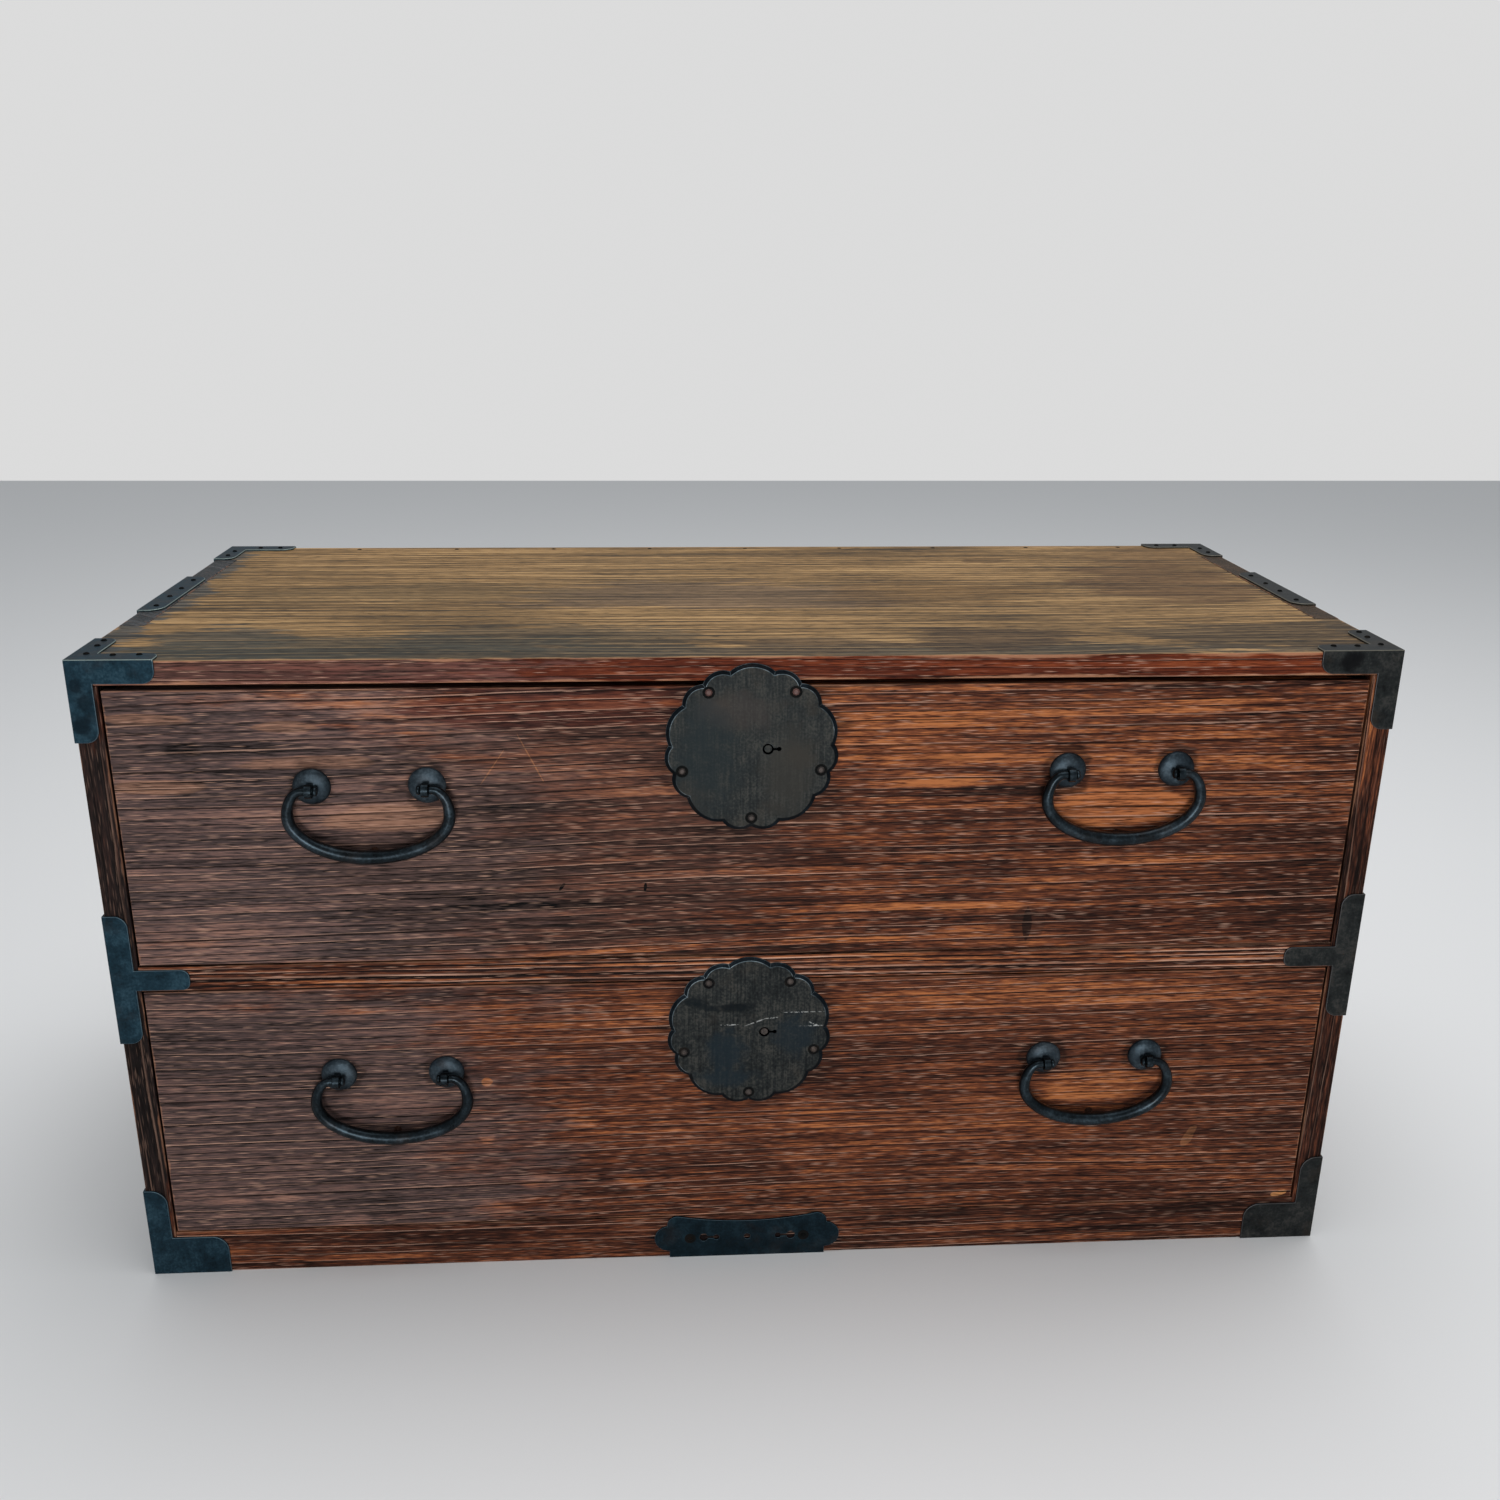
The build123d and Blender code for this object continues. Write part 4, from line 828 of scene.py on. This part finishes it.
# Lock plates: discs of thicker iron filed to fifteen lobes with a bevelled rim, brushed upright and
# blackened. The lower one is stained and scratched around its keyhole. The lock behind each one is an
# iron case with its bolt and the pin that the key turns on.
PLATE_FILMS = {
    "upper": (
        ((-0.008, 0.447), (0.022, 0.012), 0, "#3b3431", 0.35),
        ((0.026, 0.402), (0.016, 0.03), 0, "#302e2a", 0.5),
        ((-0.03, 0.41), (0.02, 0.034), 0, "#192225", 0.5),
    ),
    "lower": (
        ((-0.0412, 0.2247), (0.007, 0.0035), 0, "#0a1216", 0.7),
        ((-0.03, 0.2192), (0.011, 0.0022), -0.3, "#0a1216", 0.75),
        ((-0.0134, 0.2189), (0.0125, 0.0036), 0.06, "#060d11", 0.85),
        ((-0.016, 0.183), (0.014, 0.016), 0, "#17232a", 0.7),
        ((-0.018, 0.16), (0.02, 0.007), 0, "#17232a", 0.7),
        ((0.034, 0.196), (0.014, 0.016), 0, "#17232a", 0.6),
    ),
}
PLATE_SCRATCHES = {
    "upper": (),
    "lower": (
        ((-0.0147, 0.205), (0.0065, 0.0004), 0.0),
        ((0.0038, 0.2065), (0.0085, 0.0004), 0.36),
        ((0.0172, 0.2101), (0.006, 0.0004), 0.1),
        ((0.042, 0.2144), (0.0165, 0.0004), 0.0),
        ((0.046, 0.2028), (0.0095, 0.0004), 0.0),
        ((0.0474, 0.2047), (0.004, 0.0007), -0.5),
    ),
}
# Painted shade over the crest: its middle, off the plate's middle towards the lower right, and its half
# size
SHADE_X, SHADE_Z, SHADE_SIZE = 0.03, -0.04, 0.085
FACING_FRONT = -0.97
for drawer, seed in (("upper", 5.0), ("lower", 7.0)):
    node = f"{drawer}_lock_plate"
    plate_iron = blackened_iron(
        f"filed_{drawer}_lock_plate_iron", seed, ((0.2, "#121516"), (0.5, "#222525"), (0.8, "#3b3b38")),
        brush=0.9, grit=1.1, mottle=0.8, brown=0.3, rust="#352f28", smooth=0.5, coarse=0.66,
        films=PLATE_FILMS[drawer], scratches=PLATE_SCRATCHES[drawer],
    )
    # The bevel is painted blue-black, darker than the face as shade on its slope, and its crest is painted
    # lighter grey as a highlight, except at the lower right, where painted shade covers it
    rim_shade_iron = blackened_iron(
        f"{drawer}_plate_rim_shade_iron", seed, ((0.2, "#04080b"), (0.5, "#0b1319"), (0.8, "#182229")),
        brown=0.1,
    )
    low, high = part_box(node)
    shaded = (0.5 * (low.x + high.x) + SHADE_X, 0.5 * (low.z + high.z) + SHADE_Z)
    crest_highlight_iron = blackened_iron(
        f"{drawer}_plate_crest_highlight_iron", seed, ((0.2, "#344046"), (0.5, "#566369"), (0.8, "#858f93")),
        brown=0.1, films=((shaded, (SHADE_SIZE, SHADE_SIZE), 0, "#0d1012", 1.0),),
    )
    plate = worked_copy(node, arris=0.0004, sharp=0.3, worn=2)
    fit(plate, node, "iron", plate_iron, rim_shade_iron, crest_highlight_iron)
    second_finish(plate, per_face(plate, "normal")[:, 1] > FACING_FRONT)
    # The lower pin is rubbed grey by the key
    coat(f"{drawer}_lock_pin", grey_head if drawer == "lower" else plate_iron)
    coat(f"{drawer}_lock_case", sheet_irons["left"])
    coat(f"{drawer}_lock_bolt", sheet_irons["left"])

# Rosettes and eye pins: small iron domes hammered over a stake, with the eye pin through the middle.
# The pin is a strip bent round to an eye, driven through the board and clinched flat inside.
# Hands keep the eye pins and bails oiled and smooth, and the domes stay duller and greyer.
handle_iron = blackened_iron(
    "oiled_handle_iron", 8.0, ((0.2, "#0c1114"), (0.5, "#1a2227"), (0.8, "#313c43")), brown=0.1,
    smooth=0.26, coarse=0.42, relief=0.1,
)
rosette_iron = blackened_iron(
    "hammered_rosette_iron", 8.5, ((0.2, "#1a2228"), (0.5, "#2d373e"), (0.8, "#48545c")), brown=0.1,
    smooth=0.42, coarse=0.6, relief=0.15,
)
DOME_RADIUS, DOME_FOOT, DOME_RISE, DOME_SIDES = 0.013, 0.0006, 0.0049, 40
climb = 0.5 * np.pi * np.linspace(0, 1, 12)[:-1]
DOME = (
    [(0, 0), (DOME_RADIUS, 0)]
    + [(DOME_RADIUS * np.cos(a), DOME_FOOT + DOME_RISE * np.sin(a)) for a in climb]
    + [(0, DOME_FOOT + DOME_RISE)]
)
for handle, outward in (
    ("upper_handle", [(0, -1, 0)] * ROSETTES),
    ("lower_handle", [(0, -1, 0)] * ROSETTES),
    ("carry_handle", [(-1, 0, 0), (-1, 0, 0), (1, 0, 0), (1, 0, 0)]),
):
    ways = np.array(outward, float)
    lows, highs = solids_of(f"{handle}_rosettes", ROSETTES)
    seats = np.where(ways < 0, highs, np.where(ways > 0, lows, (lows + highs) / 2))
    domes = make_piece(f"{handle}_rosette_domes", *spun(DOME, DOME_SIDES, seats, ways))
    fit(domes, f"{handle}_rosettes", "iron", rosette_iron)
    eye_pins = worked_copy(f"{handle}_eye_pins", arris=0.0007)
    fit(eye_pins, f"{handle}_eye_pins", "iron", handle_iron)

# Bails: round iron bar forged thick in the middle and drawn thin to the ends, bent to a flat U.
# Each end is a thin pin that turns in the eye, with a small knob that keeps it there.
HALF_WIDTH, DROP, SHOULDER_WIDTH, SHOULDER_DROP, KNOB_X = 0.0547, 0.049, 0.011, 0.018, 0.0328
END_POINTS, QUARTER_POINTS, BAR_SIDES = 44, 40, 28
HAMMERED, HAMMER_STEP = 0.02, 0.21


def bail_line():
    """The right half of a bail's centre line from knob to middle, as points (x, z).

    A straight end, then a quarter ellipse down over the shoulder, then a wider one in to the middle.
    """
    shoulder_x = HALF_WIDTH - SHOULDER_WIDTH
    straight = np.linspace(KNOB_X, shoulder_x, END_POINTS)[:-1]
    quarter = 0.5 * np.pi * np.linspace(0, 1, QUARTER_POINTS)
    over_x = shoulder_x + SHOULDER_WIDTH * np.sin(quarter)
    over_z = SHOULDER_DROP * (np.cos(quarter) - 1)
    under_z = -SHOULDER_DROP - (DROP - SHOULDER_DROP) * np.sin(quarter)
    end = np.stack([straight, 0 * straight], -1)
    over = np.stack([over_x, over_z], -1)
    under = np.stack([HALF_WIDTH * np.cos(quarter), under_z], -1)
    return np.concatenate([end, over[:-1], under])


def bail_bar():
    """The bar of a bail about its pins, as a grid of points (across, outward, up).

    Round sections follow the centre line, each of the radius there. The radius is drawn straight
    between its values at the knob, the pin, the shoulder and the middle, and dips a little around
    and along the bar, as hammering leaves it.
    """
    half = bail_line()
    step = np.concatenate([[0], np.cumsum(np.linalg.norm(np.diff(half, axis=0), axis=1))])
    knob = [(0.0, 0.0), (0.00015, 1.6), (0.0007, 3.0), (0.0017, 3.5), (0.0027, 3.2), (0.0032, 2.6)]
    pin = [(0.0035, 2.4), (0.0088, 2.4)]
    shoulder = [(0.0090, 2.9), (0.0094, 3.05), (0.0109, 3.05)]
    grip = [(0.033, 4.2), (step[-1], 5.2)]
    from_end, radius_mm = np.array(knob + pin + shoulder + grip).T
    half_radius = np.interp(step, from_end, radius_mm / 1000)
    line = np.concatenate([half, half[-2::-1] * (-1, 1)])
    radius = np.concatenate([half_radius, half_radius[-2::-1]])
    way = np.gradient(line, axis=0)
    way /= np.linalg.norm(way, axis=1, keepdims=True)
    turn = np.linspace(0, 2 * np.pi, BAR_SIDES, endpoint=False)
    blows = np.sin(HAMMER_STEP * np.arange(len(line))[:, None]) * np.sin(2 * turn)
    reach = radius[:, None] * (1 - HAMMERED * (1 + blows))
    return np.stack([
        line[:, None, 0] - reach * np.cos(turn) * way[:, None, 1],
        reach * np.sin(turn),
        line[:, None, 1] + reach * np.cos(turn) * way[:, None, 0],
    ], axis=-1)


bar = bail_bar()
BAILS = {f"{drawer}_{side}_bail": (0, -1, 0) for drawer in ("upper", "lower") for side in ("left", "right")}
BAILS |= {"left_carry_bail": (-1, 0, 0), "right_carry_bail": (1, 0, 0)}
for joint in frame["joints"]:
    node = joint["child"]
    if node in BAILS:
        outward = np.array(BAILS[node], float)
        across = np.cross(outward, (0, 0, 1))
        points = np.array(joint["pos_m"], float) + bar @ np.array([across, outward, (0, 0, 1)])
        bail = make_piece(node + "_forged", points, tube_quads(*bar.shape[:2]))
        fit(bail, node, "iron", handle_iron)

# Studio: a plain pale floor, a pale surround that also gives a weak fill, one light low in front of the
# chest and a broad one overhead.
FLOOR = 4.0
floor_corners = [(-FLOOR, -FLOOR, 0), (FLOOR, -FLOOR, 0), (FLOOR, FLOOR, 0), (-FLOOR, FLOOR, 0)]
floor_mesh = bpy.data.meshes.new("studio_floor")
floor_mesh.from_pydata(floor_corners, [], [(0, 1, 2, 3)])
floor = bpy.data.objects.new("studio_floor", floor_mesh)
bpy.context.scene.collection.objects.link(floor)
painted = bpy.data.materials.new("pale_painted_floor")
painted.use_nodes = True
paint = painted.node_tree.nodes["Principled BSDF"].inputs
paint["Base Color"].default_value = linear("#e4e4e4")
paint["Roughness"].default_value = 0.6
floor_mesh.materials.append(painted)
world = bpy.data.worlds.new("studio")
world.use_nodes = True
world.node_tree.nodes.clear()
seen = add(world.node_tree, "LightPath", {}).node.outputs["Is Camera Ray"]
fill = add(world.node_tree, "Background", {"Color": linear("#e6eaee"), "Strength": 0.52})
wall = add(world.node_tree, "Background", {"Color": linear("#ececec"), "Strength": 0.85})
sky = add(world.node_tree, "MixShader", {0: seen, 1: fill, 2: wall})
add(world.node_tree, "OutputWorld", {"Surface": sky})
bpy.context.scene.world = world
LIT = Vector((0, 0, 0.3))
for name, place, size, power in (
    ("key", (-0.15, -3.2, 0.5), 0.8, 52.0),
    ("top", (0.3, 0.3, 2.6), 2.2, 44.0),
):
    lamp = bpy.data.lights.new(name, "AREA")
    lamp.size = size
    lamp.energy = power
    holder = bpy.data.objects.new(name, lamp)
    holder.location = place
    holder.rotation_euler = (LIT - Vector(place)).to_track_quat("-Z", "Y").to_euler()
    bpy.context.scene.collection.objects.link(holder)

# Camera: a metre in front of the chest and a quarter of a metre above its top, a little left of the
# middle, looking slightly down. Its place and angles were fitted to the edges of the chest.
CAMERA_AT = Vector((-0.06146, -1.13029, 0.73781))
YAW, PITCH, ROLL = np.radians((3.692, 18.847, 0.535))
FOCAL_MM, SENSOR_MM = 34.27, 36.0
lens = bpy.data.cameras.new("photo_camera")
lens.lens = FOCAL_MM
lens.sensor_width = SENSOR_MM
camera = bpy.data.objects.new("photo_camera", lens)
forward = Vector((np.sin(YAW) * np.cos(PITCH), np.cos(YAW) * np.cos(PITCH), -np.sin(PITCH)))
level = Vector((np.cos(YAW), -np.sin(YAW), 0))
upright = level.cross(forward)
right = np.cos(ROLL) * level + np.sin(ROLL) * upright
up = np.cos(ROLL) * upright - np.sin(ROLL) * level
camera.matrix_world = Matrix.Translation(CAMERA_AT) @ Matrix((right, up, -forward)).transposed().to_4x4()
bpy.context.scene.collection.objects.link(camera)
bpy.context.scene.camera = camera
bpy.context.scene.view_settings.view_transform = "Standard"
